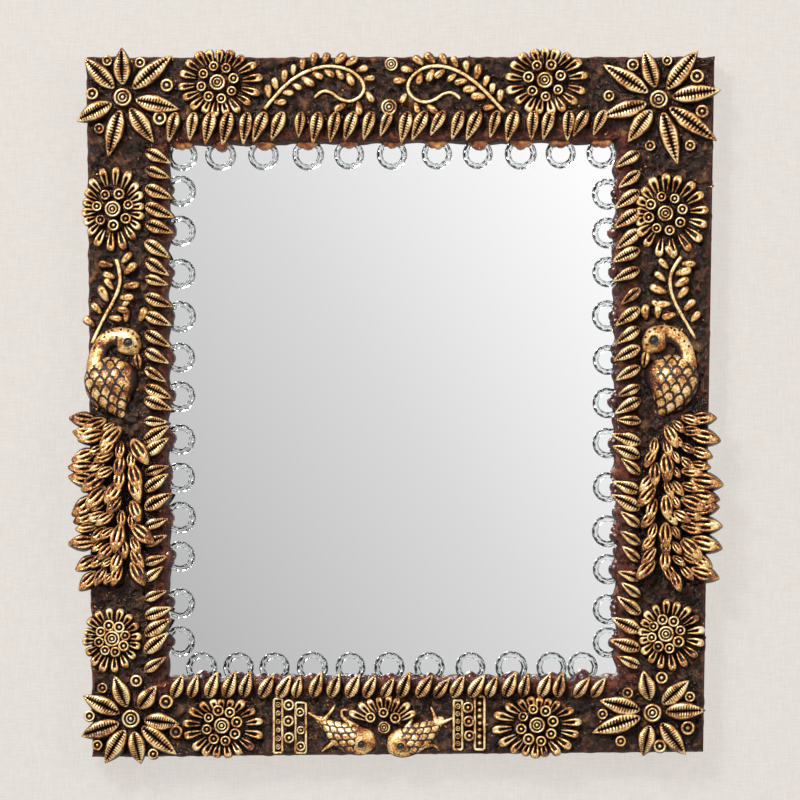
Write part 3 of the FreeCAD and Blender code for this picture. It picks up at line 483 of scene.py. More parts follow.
coat_paste, tree, shader = new_material(
    "ground_paste", Specular_IOR_Level=0.42, Specular_Tint=(1.0, 0.8, 0.66, 1.0))
skin = add_node(tree, "ShaderNodeGroup", {"Scale": 260.0}, node_tree=paste_skin)
lip = add_node(tree, "ShaderNodeAttribute", attribute_name="crest")["Fac"]
ground = colour_ramp(tree, skin["Tone"], (
    (0.3, (6, 3, 3)), (0.5, (25, 10, 9)), (0.72, (70, 38, 31))))
reddish = colour_ramp(tree, skin["Tone"], (
    (0.3, (26, 9, 8)), (0.55, (78, 28, 22)), (0.75, (136, 70, 42))))
base = mixed(tree, lip, ground, reddish)
peaks = times(tree, fitted(tree, skin["Height"], 0.48, 0.66), fitted(tree, skin["Tone"], 0.46, 0.68))
brushed_gold = colour_ramp(tree, skin["Tone"], ((0.3, (110, 66, 36)), (0.7, (178, 128, 70))))
tree.links.new(mixed(tree, times(tree, peaks, 0.32), base, brushed_gold), shader["Base Color"])
gloss = fitted(tree, skin["Height"], 0.1, 0.7, 0.06, 0.22)
tree.links.new(math_node(tree, "MAXIMUM", gloss, times(tree, lip, 0.42)), shader["Roughness"])
bump(tree, shader, skin["Height"], 0.0042, 1.0)

# Hand gilding: the crest attribute puts the gold on the high points and runs dark below them. That dark is partly the
# dark wash left in the hollows and partly painted shade down the flanks and round the foot of each piece.
gilding, given, result = new_group("hand_gilding", {"Crest": 1.0, "Rust": 0.0}, {
    "Color": "Color", "Metallic": "Float", "Roughness": "Float", "Height": "Float"})
coords = object_coords(gilding)
rub = noise_of(gilding, coords, 820.0, 6.0)
patches = noise_of(gilding, coords, 130.0, 2.0)
rubbed = plus(gilding, plus(gilding, given["Crest"], minus(gilding, rub, 0.5)), minus(gilding, patches, 0.57))
worn = minus(gilding, rubbed, times(gilding, given["Rust"], 0.5))
gilding.links.new(colour_ramp(gilding, worn, (
    (0.18, (7, 3, 3)), (0.45, (34, 13, 9)), (0.59, (100, 46, 23)), (0.74, (180, 116, 58)),
    (0.86, (240, 190, 112)), (1.0, (255, 238, 188)))), result["Color"])
gilding.links.new(fitted(gilding, worn, 0.4, 0.85, 0.0, 0.48), result["Metallic"])
gilding.links.new(fitted(gilding, worn, 0.2, 0.95, 0.5, 0.3), result["Roughness"])
gilding.links.new(weighed(gilding, rub, 0.6, patches, 0.4), result["Height"])


def gilded_finish(name, rust, grain):
    material, tree, shader = new_material(name, IOR=1.5, Coat_Weight=0.15, Coat_Roughness=0.25)
    crest = add_node(tree, "ShaderNodeAttribute", attribute_name="crest")["Fac"]
    gilt = add_node(tree, "ShaderNodeGroup", {"Crest": crest, "Rust": rust}, node_tree=gilding)
    skin = add_node(tree, "ShaderNodeGroup", {"Scale": grain}, node_tree=paste_skin)
    for label, socket in (("Color", "Base Color"), ("Metallic", "Metallic"), ("Roughness", "Roughness")):
        tree.links.new(gilt[label], shader[socket])
    uneven = plus(tree, gilt["Height"], times(tree, skin["Height"], 0.5))
    bump(tree, shader, uneven, 0.0005, 0.6)
    return material


coat_crumb = gilded_finish("gilded_crumb", 0.2, 420.0)
coat_front, coat_back = [corner.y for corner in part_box("ground_coat_top")]
glass_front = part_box("mirror_glass")[0].y
sight_half = (0.15135, 0.1795)
lip_run = {"top": 0.0034, "bottom": 0.0064, "left": 0.0039, "right": 0.0072}
lip_steps = 6
ring_of_corners = [
    (board_corners[row + "_" + side], (x * sight_half[0], z * sight_half[1]),
     (x * (sight_half[0] - lip_run[side]), z * (sight_half[1] - lip_run[row])))
    for row, side, x, z in (("top", "left", -1, 1), ("top", "right", 1, 1), ("bottom", "right", 1, -1),
                            ("bottom", "left", -1, -1))]
coat_step = 0.0015
coat_columns = 38
lump_height = 0.0016
edge_roll = 0.0014
edge_bulge = 0.022
reddish_from = 0.8


def between(first, last, share):
    return [a + (b - a) * share for a, b in zip(first, last)]


def coat_lump(x, z):
    dab = 0.45 - noise.voronoi(Vector((x, 0.1, z)) * 150.0)[0][0]
    coarse = noise.noise(Vector((x, 0.0, z)) * 90.0)
    fine_lump = noise.noise(Vector((x, 0.3, z)) * 360.0)
    return lump_height * (0.9 * dab + 0.5 * coarse + 0.3 * fine_lump)


coat_points, coat_lips = [], []
for number, (outer_from, inner_from, lip_from) in enumerate(ring_of_corners):
    outer_to, inner_to, lip_to = ring_of_corners[(number + 1) % 4]
    steps = round(math.dist(outer_from, outer_to) / coat_step)
    for step in range(steps):
        run = step / steps
        outer = between(outer_from, outer_to, run)
        inner = between(inner_from, inner_to, run)
        lip = between(lip_from, lip_to, run)
        bulge = 1 + edge_bulge * (0.35 + noise.noise(Vector((outer[0], 2.0, outer[1])) * 130.0))
        outer = between(inner, outer, bulge)
        coat_points.append((outer[0], coat_back, outer[1]))
        coat_lips.append(0.0)
        for column in range(coat_columns + 1):
            share = column / coat_columns
            x, z = between(outer, inner, share)
            rolled = edge_roll * max(0.0, 1 - share * coat_columns) ** 2
            coat_points.append((x, coat_front - coat_lump(x, z) + rolled, z))
            coat_lips.append(max(0.0, (share - reddish_from) / (1 - reddish_from), 0.9 - 0.5 * column))
        ragged = 1 + 0.5 * noise.noise(Vector((lip[0], 1.0, lip[1])) * 110.0)
        for step_down in range(1, lip_steps + 1):
            share = step_down / lip_steps
            x, z = between(inner, lip, share * ragged)
            fall = (glass_front - coat_front) * share ** 2
            coat_points.append((x, coat_front + fall - coat_lump(x, z) * (1 - share), z))
            coat_lips.append(1.0)
        for depth in (glass_front, coat_back):
            coat_points.append((inner[0], depth, inner[1]))
            coat_lips.append(1.0)
columns = coat_columns + lip_steps + 4
rows = len(coat_points) // columns
coat_faces = loft_faces(rows, columns, closed=True)
coat_mesh = new_mesh("ground_coat", coat_points, coat_faces, coat_lips)
coat_mesh.materials.append(coat_paste)
crumb = turned_boss("crumb", ((0.0, 1.0, 0.9), (0.55, 0.8, 0.75), (1.0, 0.0, 0.1)), 7)
crumb_scatter, given = new_tree("crumb_scatter", {**laying_inputs, "Density": "Float", "Size": "Vector"})
front = math_node(crumb_scatter, "LESS_THAN", add_node(crumb_scatter, "ShaderNodeSeparateXYZ", {
    "Vector": add_node(crumb_scatter, "GeometryNodeInputNormal")["Normal"]})["Y"], -0.7)
spread = add_node(crumb_scatter, "GeometryNodeDistributePointsOnFaces", {
    "Mesh": given["Geometry"], "Selection": front, "Density": given["Density"], "Seed": given["Seed"]})["Points"]
lay_pieces(crumb_scatter, given, spread, 0.0, given["Size"], [given["Geometry"]])
coat_mesh = grown_mesh("ground_coat", [(crumb_scatter, {
    "Piece": crumb, "Material": coat_crumb, "Seed": 4, "Turn Jitter": 3.0, "Size Jitter": 0.55,
    "Density": 6500.0, "Size": (0.0014, 0.0007, 0.0006)})], coat_mesh)
make_piece("ground_coat", coat_mesh, "ground_coat", "ground_coat_top", "ground_coat_bottom",
           "ground_coat_left", "ground_coat_right")

# Border leaves: cowrie-shaped leaves of paste with a toothed groove, laid side by side round the
# opening with their tips over the glass. The raised lips are rubbed with gold, the groove is dark.
gilt = gilded_finish("gilded_paste", 0.0, 420.0)
# From the middle out: the toothed groove, the gold lips, then the outer flank going dark to the foot, partly dark
# wash and partly painted shade.
cowrie_section = (
    (0.0, 0.3, 0.0), (0.11, 0.34, 0.0), (0.22, 0.72, 0.3), (0.33, 0.94, 0.9), (0.44, 0.99, 1.0), (0.6, 1.0, 1.0),
    (0.76, 0.82, 0.72), (0.9, 0.44, 0.1), (1.0, 0.0, 0.0))
border_outline = (
    (0.02, 0.24, 0.3), (0.07, 0.48, 0.58), (0.13, 0.68, 0.78), (0.19, 0.83, 0.9), (0.25, 0.93, 0.97),
    (0.32, 0.99, 1.0), (0.39, 1.0, 1.0), (0.46, 0.97, 0.99), (0.53, 0.9, 0.95), (0.6, 0.8, 0.9), (0.67, 0.69, 0.84),
    (0.74, 0.57, 0.77), (0.82, 0.43, 0.69), (0.9, 0.28, 0.58), (0.97, 0.13, 0.4))
border_places, border_widths, border_heights = zip(*border_outline)
border_leaf = paste_leaf("border_leaf", [
    (u, np.interp(u, border_places, border_widths), np.interp(u, border_places, border_heights))
    for u in np.linspace(0.02, 0.97, 25)], cowrie_section, (0.08, 0.86), 0.55)

leaf_row, given = new_tree("leaf_row", {
    **laying_inputs, "First": "Vector", "Last": "Vector", "Count": "Int", "First Turn": "Float",
    "Last Turn": "Float", "Size": "Vector"})
line = add_node(leaf_row, "GeometryNodeMeshLine", {
    "Count": given["Count"], "Start Location": given["First"], "Offset": given["Last"]},
    mode="END_POINTS", count_mode="TOTAL")["Mesh"]
order = add_node(leaf_row, "GeometryNodeInputIndex")["Index"]
share = math_node(leaf_row, "DIVIDE", order, minus(leaf_row, given["Count"], 1.0))
turn = fitted(leaf_row, share, 0.0, 1.0, given["First Turn"], given["Last Turn"])
lay_pieces(leaf_row, given, line, turn, given["Size"], [given["Geometry"]])

photo_pixel = 0.000658
sight_middle_px = (392.5, 410.75)
bedding = 0.0005
bed = coat_front + bedding


def across(column):
    return (column - sight_middle_px[0]) * photo_pixel


def down(row):
    return (sight_middle_px[1] - row) * photo_pixel


def at_photo(column, row, size, turn=0.0, depth=bed):
    return (across(column), depth, down(row)), turn, size


border_width = 0.0104
border_height = 0.0072
border_lengths = {"top": 0.0204, "bottom": 0.0172, "left": 0.0188, "right": 0.0188}
border_overhangs = {"top": 0.0014, "bottom": 0.0062, "left": 0.0042, "right": 0.0048}
border_headings = {"top": -90.0, "bottom": 90.0, "left": 0.0, "right": 180.0}
border_rows = {
    "top": ((171, 601, 25, -17.0, -17.0),),
    "bottom": ((178, 597, 25, -25.0, -25.0),),
    "left": ((156, 392, 14, -28.0, -28.0), (404, 436, 3, -24.0, 24.0), (448, 664, 13, 28.0, 28.0)),
    "right": ((160, 394, 13, 30.0, 30.0), (406, 438, 3, 26.0, -26.0), (451, 660, 13, -29.0, -29.0)),
}
for side, rows in border_rows.items():
    steps = []
    length, heading = border_lengths[side], math.radians(border_headings[side])
    for number, (first_px, last_px, count, first_lean, last_lean) in enumerate(rows):
        ends, turns = [], []
        for px, lean in ((first_px, first_lean), (last_px, last_lean)):
            # The leaf starts at its blunt end, set back from its tip over the lip
            turn = heading + math.radians(lean)
            run_x, run_z = length * math.cos(turn), length * math.sin(turn)
            if side in ("top", "bottom"):
                tip = math.copysign(sight_half[1] - border_overhangs[side], -run_z)
                ends.append((across(px) - run_x / 2, bed, tip - run_z))
            else:
                tip = math.copysign(sight_half[0] - border_overhangs[side], -run_x)
                ends.append((tip - run_x, bed, down(px) - run_z / 2))
            turns.append(turn)
        steps.append((leaf_row, {
            "Piece": border_leaf, "Material": gilt, "Seed": 10 + number, "Turn Jitter": 0.24,
            "Size Jitter": 0.16, "First": ends[0], "Last": ends[1], "Count": count,
            "First Turn": turns[0], "Last Turn": turns[1], "Size": (length, border_height, border_width)}))
    make_relief("border_leaves_" + side, grown_mesh("border_" + side, steps))

# Glass rings: clear pressed rings with a bevel and a few flat facets, stuck on the face of the glass.
# A row runs along each side, and each ring tucks a little way under the lip.
ring_glass, tree, shader = new_material("clear_ring_glass", IOR=1.5, Transmission_Weight=1.0)
shader["Base Color"].default_value = srgb(250, 252, 252)
tree.links.new(fitted(tree, noise_of(tree, object_coords(tree), 300.0), 0.3, 0.7, 0.0, 0.05), shader["Roughness"])
ring_hole_share = 0.62
ring_sides = 22
ring_profile = ((1.0, 0.2), (1.0, 0.5), (0.86, 1.0), (0.76, 1.0), (ring_hole_share, 0.45), (ring_hole_share, 0.15),
                (0.68, 0.0), (0.94, 0.0))
ring_cut = 0.05
ring_points = []
for number in range(ring_sides):
    angle = 2 * math.pi * number / ring_sides
    for out, rise in ring_profile:
        if rise == 1.0 and number % 2:
            out, rise = out - ring_cut, rise - ring_cut
        ring_points.append((out * math.cos(angle), -rise, out * math.sin(angle)))
ring_faces = loft_faces(ring_sides, len(ring_profile), closed=True, flipped=True)
ring_mesh = new_mesh("glass_ring", ring_points, ring_faces)
ring_mesh.polygons.foreach_set("use_smooth", [False] * len(ring_mesh.polygons))
glass_ring = bpy.data.objects.new("glass_ring", ring_mesh)
ring_size = (0.0102, 0.0030, 0.0102)
ring_insets = {"top": 0.0100, "bottom": 0.0112, "left": 0.0102, "right": 0.0106}
ring_lift = 0.0002
ring_spots = {
    "top": [(across(column), sight_half[1] - ring_insets["top"]) for column in (
        179.5, 218.5, 261.5, 306.5, 347.5, 390.5, 435.5, 476.5, 519.5, 559.5, 600.5)],
    "bottom": [(across(column), ring_insets["bottom"] - sight_half[1]) for column in (
        200, 237, 273, 311, 349, 388, 428, 469, 510, 550, 581)],
    "left": [(ring_insets["left"] - sight_half[0], down(row)) for row in (
        189, 229, 272, 315, 356, 395, 438, 476, 516, 555, 602, 640)],
    "right": [(sight_half[0] - ring_insets["right"], down(row)) for row in (
        194, 233, 272, 316, 360, 403, 443, 487, 531, 569, 609, 642)],
}
for side, spots in ring_spots.items():
    places = [((x, glass_front - ring_lift, z), 0.0, ring_size) for x, z in spots]
    make_piece("ring_row_" + side, laid(glass_ring, ring_glass, places, 5, math.pi, 0.04),
               "ring_glass", "glass_rings_" + side)


# Amber lumps: dabs of glossy tinted paste on the edge of the lip, three over each ring.
# Along the top they are amber and catch the light, and on the other sides they are maroon.
def dab_paste(name, stops, gloss, coat_weight, coat_roughness):
    material, tree, shader = new_material(
        name, IOR=1.5, Coat_Weight=coat_weight, Coat_Roughness=coat_roughness)
    skin = add_node(tree, "ShaderNodeGroup", {"Scale": 300.0}, node_tree=paste_skin)
    tree.links.new(colour_ramp(tree, skin["Tone"], stops), shader["Base Color"])
    tree.links.new(fitted(tree, skin["Height"], 0.2, 0.9, *gloss), shader["Roughness"])
    bump(tree, shader, skin["Height"], 0.0010, 0.8)
    return material


amber = dab_paste("amber_paste", (
    (0.3, (58, 20, 10)), (0.46, (146, 70, 30)), (0.6, (206, 132, 62)), (0.76, (248, 204, 132))),
    (0.18, 0.42), 0.6, 0.12)
maroon = dab_paste("maroon_paste", (
    (0.3, (18, 7, 6)), (0.5, (60, 20, 16)), (0.68, (118, 52, 34))), (0.2, 0.45), 0.5, 0.15)
paste_dab = turned_boss("amber_dab", (
    (0.0, 1.0, 1), (0.35, 0.96, 1), (0.62, 0.82, 1), (0.85, 0.55, 1), (0.97, 0.2, 1), (1.0, 0.0, 1)), 12)
dab_depth = glass_front - 0.0016
dab_laps = {"top": 0.0006, "bottom": 0.0026, "left": 0.0014, "right": 0.0014}
dab_cluster = ((-0.0036, 0.0010, (0.0040, 0.0044, 0.0034)), (0.0004, 0.0, (0.0050, 0.0052, 0.0042)),
               (0.0040, 0.0012, (0.0036, 0.0042, 0.0032)))
amber_places, maroon_places = [], []
for side, spots in ring_spots.items():
    for x, z in spots:
        for along, back, size in dab_cluster:
            inset = dab_laps[side] + back - lip_run[side]
            if side in ("top", "bottom"):
                place = (x + along, dab_depth, math.copysign(sight_half[1] + inset, z))
            else:
                place = (math.copysign(sight_half[0] + inset, x), dab_depth, z + along)
            (amber_places if side == "top" else maroon_places).append((place, 0.0, size))
make_piece("amber_dabs", joined([
    laid(paste_dab, amber, amber_places, 3, 3.0, 0.3), laid(paste_dab, maroon, maroon_places, 4, 3.0, 0.3)]),
    "amber_paste", "edge_lumps")

# Corner stars: seven or eight long cowrie petals round a ringed boss, with ring beads between them.
# Each petal was pressed over a stick, so it is open along the middle and toothed inside.
star_rows = 31
star_petal = paste_leaf("star_petal", [
    (u, math.sin(math.pi * u ** 0.8) ** 0.9, 0.28 + 0.72 * math.sin(math.pi * u ** 0.85) ** 0.7)
    for u in [(row + 0.5) / star_rows for row in range(star_rows)]], cowrie_section, (0.06, 0.9), 0.55)
ringed_boss = turned_boss("ringed_boss", (
    (0.0, 1.0, 1), (0.14, 0.99, 1), (0.2, 0.76, 0.0), (0.33, 0.74, 0.0), (0.38, 0.98, 0.9), (0.46, 0.98, 1),
    (0.52, 0.74, 0.0), (0.67, 0.72, 0.0), (0.72, 0.96, 0.95), (0.85, 0.93, 1), (0.96, 0.7, 0.4),
    (1.0, 0.3, 0.15), (1.0, 0.0, 0.0)), 28)
ring_bead = turned_boss("ring_bead", (
    (0.0, 0.95, 1), (0.2, 0.93, 1), (0.3, 0.45, 0.05), (0.54, 0.42, 0.0), (0.64, 0.97, 0.9),
    (0.84, 0.97, 1), (0.96, 0.6, 0.4), (1.0, 0.0, 0.0)), 18)
star_petal_width = 0.0142
star_petal_height = 0.0078
star_root = 0.0082
star_boss_size = (0.0065, 0.0080, 0.0065)
bead_size = (0.0044, 0.0048, 0.0044)
stars = {
    "top_left": (
        (122, 96), ((134, 57), (92, 51), (42, 64), (-11, 58), (-57, 55), (-103, 61), (-153, 52)),
        ((91, 92), (98, 127), (159, 117), (166, 84), (139, 61), (106, 59))),
    "top_right": (
        (659, 101), ((147, 67), (107, 52), (53, 62), (10, 63), (-37, 71), (-73, 67), (-126, 52), (-164, 60)),
        ((633, 66), (667, 62), (697, 78), (702, 113), (690, 147), (650, 147), (609, 97))),
    "bottom_left": (
        (131, 718), ((111, 47), (53, 42), (-5, 48), (-37, 58), (-79, 46), (-120, 51), (-161, 53), (154, 55)),
        ((136, 680), (102, 687), (166, 701), (176, 731), (153, 753), (97, 744), (89, 715))),
    "bottom_right": (
        (652, 713), ((102, 44), (42, 49), (4, 52), (-51, 53), (-104, 44), (-161, 63), (167, 54)),
        ((661, 678), (689, 697), (687, 728), (659, 746), (620, 741), (602, 714), (627, 693))),
}
for corner, (middle_px, petals, beads_px) in stars.items():
    x, z = across(middle_px[0]), down(middle_px[1])
    petal_places = []
    for angle_deg, reach_px in petals:
        angle = math.radians(angle_deg)
        size = (reach_px * photo_pixel - star_root, star_petal_height, star_petal_width)
        petal_places.append(((x + star_root * math.cos(angle), bed, z + star_root * math.sin(angle)), angle, size))
    bead_places = [at_photo(*bead_px, bead_size) for bead_px in beads_px]
    make_piece("star_" + corner, joined([
        laid(star_petal, gilt, petal_places, 7, 0.03, 0.02),
        laid(ringed_boss, gilt, [((x, bed, z), 0.0, star_boss_size)]),
        laid(ring_bead, gilt, bead_places, 8, 3.0, 0.15)]), "gilded_relief", "corner_star_" + corner)

# Daisies: a crown of hairpin petals round a circle of ringed drums and a middle boss.
# Each petal is a roll of paste bent double, so its groove is open towards the middle.
hairpin_petal = paste_leaf("hairpin_petal", (
    (0.0, 0.44, 0.45), (0.16, 0.58, 0.68), (0.36, 0.78, 0.88), (0.55, 0.94, 0.98), (0.7, 1.0, 1.0),
    (0.84, 0.9, 0.96), (0.93, 0.64, 0.78), (0.98, 0.34, 0.5)), (
    (0.0, 0.2, 0.0), (0.16, 0.26, 0.0), (0.33, 0.86, 0.75), (0.54, 1.0, 1.0), (0.76, 0.78, 0.7), (0.92, 0.34, 0.1),
    (1.0, 0.0, 0.0)), (0.0, 0.6))
rosette, given = new_tree("rosette", {
    **laying_inputs, "Middle": "Vector", "Left": "Float", "Right": "Float", "Up": "Float", "Down": "Float",
    "Inner": "Float", "Count": "Int", "Start": "Float", "Sweep": "Float", "Width": "Float", "Height": "Float"})
order = add_node(rosette, "GeometryNodeInputIndex")["Index"]
angle = plus(rosette, given["Start"], times(
    rosette, given["Sweep"], math_node(rosette, "DIVIDE", order, given["Count"])))
cosine = math_node(rosette, "COSINE", angle)
sine = math_node(rosette, "SINE", angle)
reaches = []
for part, low, high in ((cosine, "Left", "Right"), (sine, "Down", "Up")):
    positive = math_node(rosette, "GREATER_THAN", part, 0.0)
    reaches.append(math_node(rosette, "DIVIDE", part, fitted(rosette, positive, 0.0, 1.0, given[low], given[high])))
squares = plus(rosette, *[math_node(rosette, "POWER", math_node(rosette, "ABSOLUTE", part), 2.0) for part in reaches])
reach = math_node(rosette, "DIVIDE", 1.0, math_node(rosette, "SQRT", squares))
start = times(rosette, reach, given["Inner"])
root = add_node(rosette, "ShaderNodeVectorMath", {
    0: vector_of(rosette, cosine, 0.0, sine), "Scale": start}, operation="SCALE")["Vector"]
place = add_node(rosette, "ShaderNodeVectorMath", {0: given["Middle"], 1: root}, operation="ADD")["Vector"]
points = add_node(rosette, "GeometryNodePoints", {"Count": given["Count"], "Position": place})["Points"]
size = vector_of(rosette, minus(rosette, reach, start), given["Height"], given["Width"])
lay_pieces(rosette, given, points, angle, size, [given["Geometry"]])

drum_size = (0.0038, 0.0068, 0.0038)
drum_share = 0.43
drum_phase = 0.3
daisy_boss_size = (0.0057, 0.0076, 0.0057)
petal_inner = 0.56
petal_height = 0.0058
petal_fill = 0.8
daisies = {
    "top_left": ((217, 81.5), (41, 45, 35, 34), 18, 8),
    "top_right": ((545, 81), (41, 44, 33, 35), 17, 7),
    "left_upper": ((112, 208), (32, 32, 44, 43), 18, 7),
    "right_upper": ((665.5, 215), (31, 44, 40, 46), 17, 8),
    "left_lower": ((112, 638), (31, 29, 32, 34), 16, 8),
    "right_lower": ((665.5, 634.5), (28, 38, 34, 37), 17, 8),
    "bottom_left": ((222, 725), (40, 43, 28, 33), 17, 8),
    "bottom_right": ((537, 725), (46, 45, 28, 33), 18, 8),
}
for number, (name, (middle_px, reach_px, petal_count, drums)) in enumerate(daisies.items()):
    x, z = across(middle_px[0]), down(middle_px[1])
    left, right, up, low = [pixels * photo_pixel for pixels in reach_px]
    mean_reach = (left + right + up + low) / 4
    petal_width = 2 * math.pi * mean_reach / petal_count * petal_fill
    petals = grown_mesh("petals", [(rosette, {
        "Piece": hairpin_petal, "Material": gilt, "Seed": 20 + number, "Turn Jitter": 0.07, "Size Jitter": 0.08,
        "Middle": (x, bed, z), "Left": left, "Right": right, "Up": up, "Down": low, "Inner": petal_inner,
        "Count": petal_count, "Start": 0.1, "Sweep": 2 * math.pi, "Width": petal_width, "Height": petal_height})])
    drum_places = []
    for drum in range(drums):
        angle = 2 * math.pi * (drum + drum_phase) / drums
        drum_x, drum_z = [drum_share * mean_reach * part for part in (math.cos(angle), math.sin(angle))]
        drum_places.append(((x + drum_x, bed, z + drum_z), 0.0, drum_size))
    make_relief("daisy_" + name, joined([
        petals, laid(ring_bead, gilt, drum_places, 30 + number, 3.0, 0.1),
        laid(ringed_boss, gilt, [((x, bed, z), 0.0, daisy_boss_size)])]))

# Half daisy: three drums under a fan of hairpin petals, above the noses of the fish.
# It is made as the daisies are, with a small boss where the petals meet.
half_boss = at_photo(384, 727, (0.0044, 0.0050, 0.0044))
fan = grown_mesh("fan", [(rosette, {
    "Piece": hairpin_petal, "Material": gilt, "Seed": 41, "Turn Jitter": 0.05, "Size Jitter": 0.08,
    "Middle": half_boss[0], "Left": 0.0260, "Right": 0.0245, "Up": 0.0212, "Down": 0.0190,
    "Inner": 0.5, "Count": 8, "Start": 0.45, "Sweep": 2.58, "Width": 0.0062, "Height": petal_height})])
half_drums = [at_photo(*drum_px, drum_size) for drum_px in ((370.5, 717), (383.5, 712.3), (395.5, 717.5))]
make_relief("half_daisy", joined([
    fan, laid(ring_bead, gilt, half_drums, 42, 3.0, 0.05), laid(ringed_boss, gilt, [half_boss])]))

# Vines: a rolled stem laid in a scroll, with fat buds pressed on along both sides of it.
# The stem tapers to its end, and each bud is dimpled where the tool let go.
bud = paste_leaf("bud", (
    (0.03, 0.34, 0.44), (0.16, 0.62, 0.68), (0.36, 0.88, 0.9), (0.56, 1.0, 1.0), (0.74, 0.98, 1.0),
    (0.88, 0.78, 0.9), (0.97, 0.42, 0.6)), (
    (0.0, 0.86, 0.7), (0.3, 1.0, 1.0), (0.62, 0.86, 0.85), (0.9, 0.4, 0.35), (1.0, 0.0, 0.0)), (0.55, 0.8))
rolled_line, given = new_tree("rolled_line", {"Material": "Material", "Width": "Float", "End Width": "Float"})
along = add_node(rolled_line, "GeometryNodeSplineParameter")["Factor"]
thick = fitted(rolled_line, along, 0.0, 1.0, given["Width"], given["End Width"])
round_section = add_node(rolled_line, "GeometryNodeCurvePrimitiveCircle", {"Resolution": 10, "Radius": 0.5})["Curve"]
roll = add_node(rolled_line, "GeometryNodeCurveToMesh", {
    "Curve": given["Geometry"], "Profile Curve": round_section, "Scale": thick, "Fill Caps": True})["Mesh"]
# Gold on the face of the roll, darker down its sides: partly dark wash, partly painted shade.
facing = add_node(rolled_line, "ShaderNodeSeparateXYZ", {
    "Vector": add_node(rolled_line, "GeometryNodeInputNormal")["Normal"]})["Y"]
roll_crest = add_node(rolled_line, "GeometryNodeStoreNamedAttribute", {
    "Geometry": roll, "Name": "crest", "Value": fitted(rolled_line, facing, 0.0, -0.7, 0.1, 1.0)},
    data_type="FLOAT", domain="POINT")["Geometry"]
roll_smooth = add_node(rolled_line, "GeometryNodeSetShadeSmooth", {"Geometry": roll_crest})["Geometry"]
roll_painted = add_node(rolled_line, "GeometryNodeSetMaterial", {
    "Geometry": roll_smooth, "Material": given["Material"]})["Geometry"]
buds_before = add_node(rolled_line, "GeometryNodeSeparateComponents", {"Geometry": given["Geometry"]})["Mesh"]
finish_tree(rolled_line, (buds_before, roll_painted))

bud_spray, given = new_tree("bud_spray", {
    **laying_inputs, "Left Count": "Int", "Left To": "Float", "Right Count": "Int", "Right To": "Float",
    "From": "Float", "Gap": "Float", "Angle": "Float", "Size": "Vector"})
sides_join = bud_spray.nodes.new("GeometryNodeJoinGeometry")
for label, sign in (("Left", 1.0), ("Right", -1.0)):
    trimmed = add_node(bud_spray, "GeometryNodeTrimCurve", {
        "Curve": given["Geometry"], "Start": given["From"], "End": given[label + " To"]}, mode="FACTOR")["Curve"]
    spots = add_node(bud_spray, "GeometryNodeCurveToPoints", {
        "Curve": trimmed, "Count": given[label + " Count"]}, mode="COUNT")
    heading = add_node(bud_spray, "ShaderNodeSeparateXYZ", {"Vector": spots["Tangent"]})
    turn = plus(bud_spray, math_node(bud_spray, "ARCTAN2", heading["Z"], heading["X"]),
                times(bud_spray, given["Angle"], sign))
    aside = add_node(bud_spray, "ShaderNodeVectorMath", {
        0: vector_of(bud_spray, times(bud_spray, heading["Z"], -1.0), 0.0, heading["X"]),
        "Scale": times(bud_spray, given["Gap"], sign)}, operation="SCALE")["Vector"]
    moved = add_node(bud_spray, "GeometryNodeSetPosition", {"Geometry": spots["Points"], "Offset": aside})["Geometry"]
    marked_points = add_node(bud_spray, "GeometryNodeStoreNamedAttribute", {
        "Geometry": moved, "Name": "turn", "Value": turn}, data_type="FLOAT", domain="POINT")["Geometry"]
    bud_spray.links.new(marked_points, sides_join.inputs["Geometry"])
turn = add_node(bud_spray, "GeometryNodeInputNamedAttribute", {"Name": "turn"}, data_type="FLOAT")[0]
lay_pieces(bud_spray, given, sides_join.outputs["Geometry"], turn, given["Size"], [given["Geometry"]])


def line_curve(name, lines_px, depth, closed=False):
    curve = bpy.data.curves.new(name, "CURVE")
    curve.dimensions = "3D"
    curve.resolution_u = 8
    for places_px in lines_px:
        spline = curve.splines.new("NURBS")
        spline.points.add(len(places_px) - 1)
        for point, (column, row) in zip(spline.points, places_px):
            point.co = (across(column), depth, down(row), 1.0)
        spline.order_u = 3
        spline.use_endpoint_u = not closed
        spline.use_cyclic_u = closed
    return curve


stem_depth = coat_front - 0.0008
stem_widths = {"Width": 0.0030, "End Width": 0.0024}
vines = {
    "top_left": (((264, 108), (277, 92), (292, 78), (309, 69), (326, 65), (344, 67), (358, 75), (365, 87), (360, 97),
                  (349, 102), (338, 98), (330, 91), (320, 90), (314, 97)), 14, 0.80, 8, 0.54),
    "top_right": (((505, 113), (490, 97), (476, 83), (462, 73), (445, 66), (426, 66), (412, 75), (406, 87), (412, 98),
                   (424, 103), (435, 100), (444, 93), (454, 92), (460, 99)), 8, 0.54, 14, 0.80),
    "left": (((115, 258), (119, 270), (119, 284), (113, 299), (105, 313), (96, 330), (91, 342)), 6, 0.66, 6, 0.82),
    "right": (((681, 258), (673, 268), (669, 281), (671, 296), (678, 311), (687, 326), (695, 340)), 6, 0.82, 6, 0.66),
}
scroll_buds = {"Gap": 0.0022, "Angle": 0.9, "Size": (0.0088, 0.0054, 0.0062)}
side_buds = {"Gap": 0.0030, "Angle": 2.0, "Size": (0.0104, 0.0060, 0.0068)}
loose_bud_size = (0.0106, 0.0060, 0.0076)
loose_buds = {
    "left": ((125, 321, 90, 0.80), (139, 321, 80, 0.90), (110, 320, 50, 0.55), (121, 307, 40, 0.66)),
    "right": ((657, 320, 90, 0.80), (645, 321, 100, 0.90), (671, 321, 130, 0.55), (661, 308, 140, 0.66)),
}
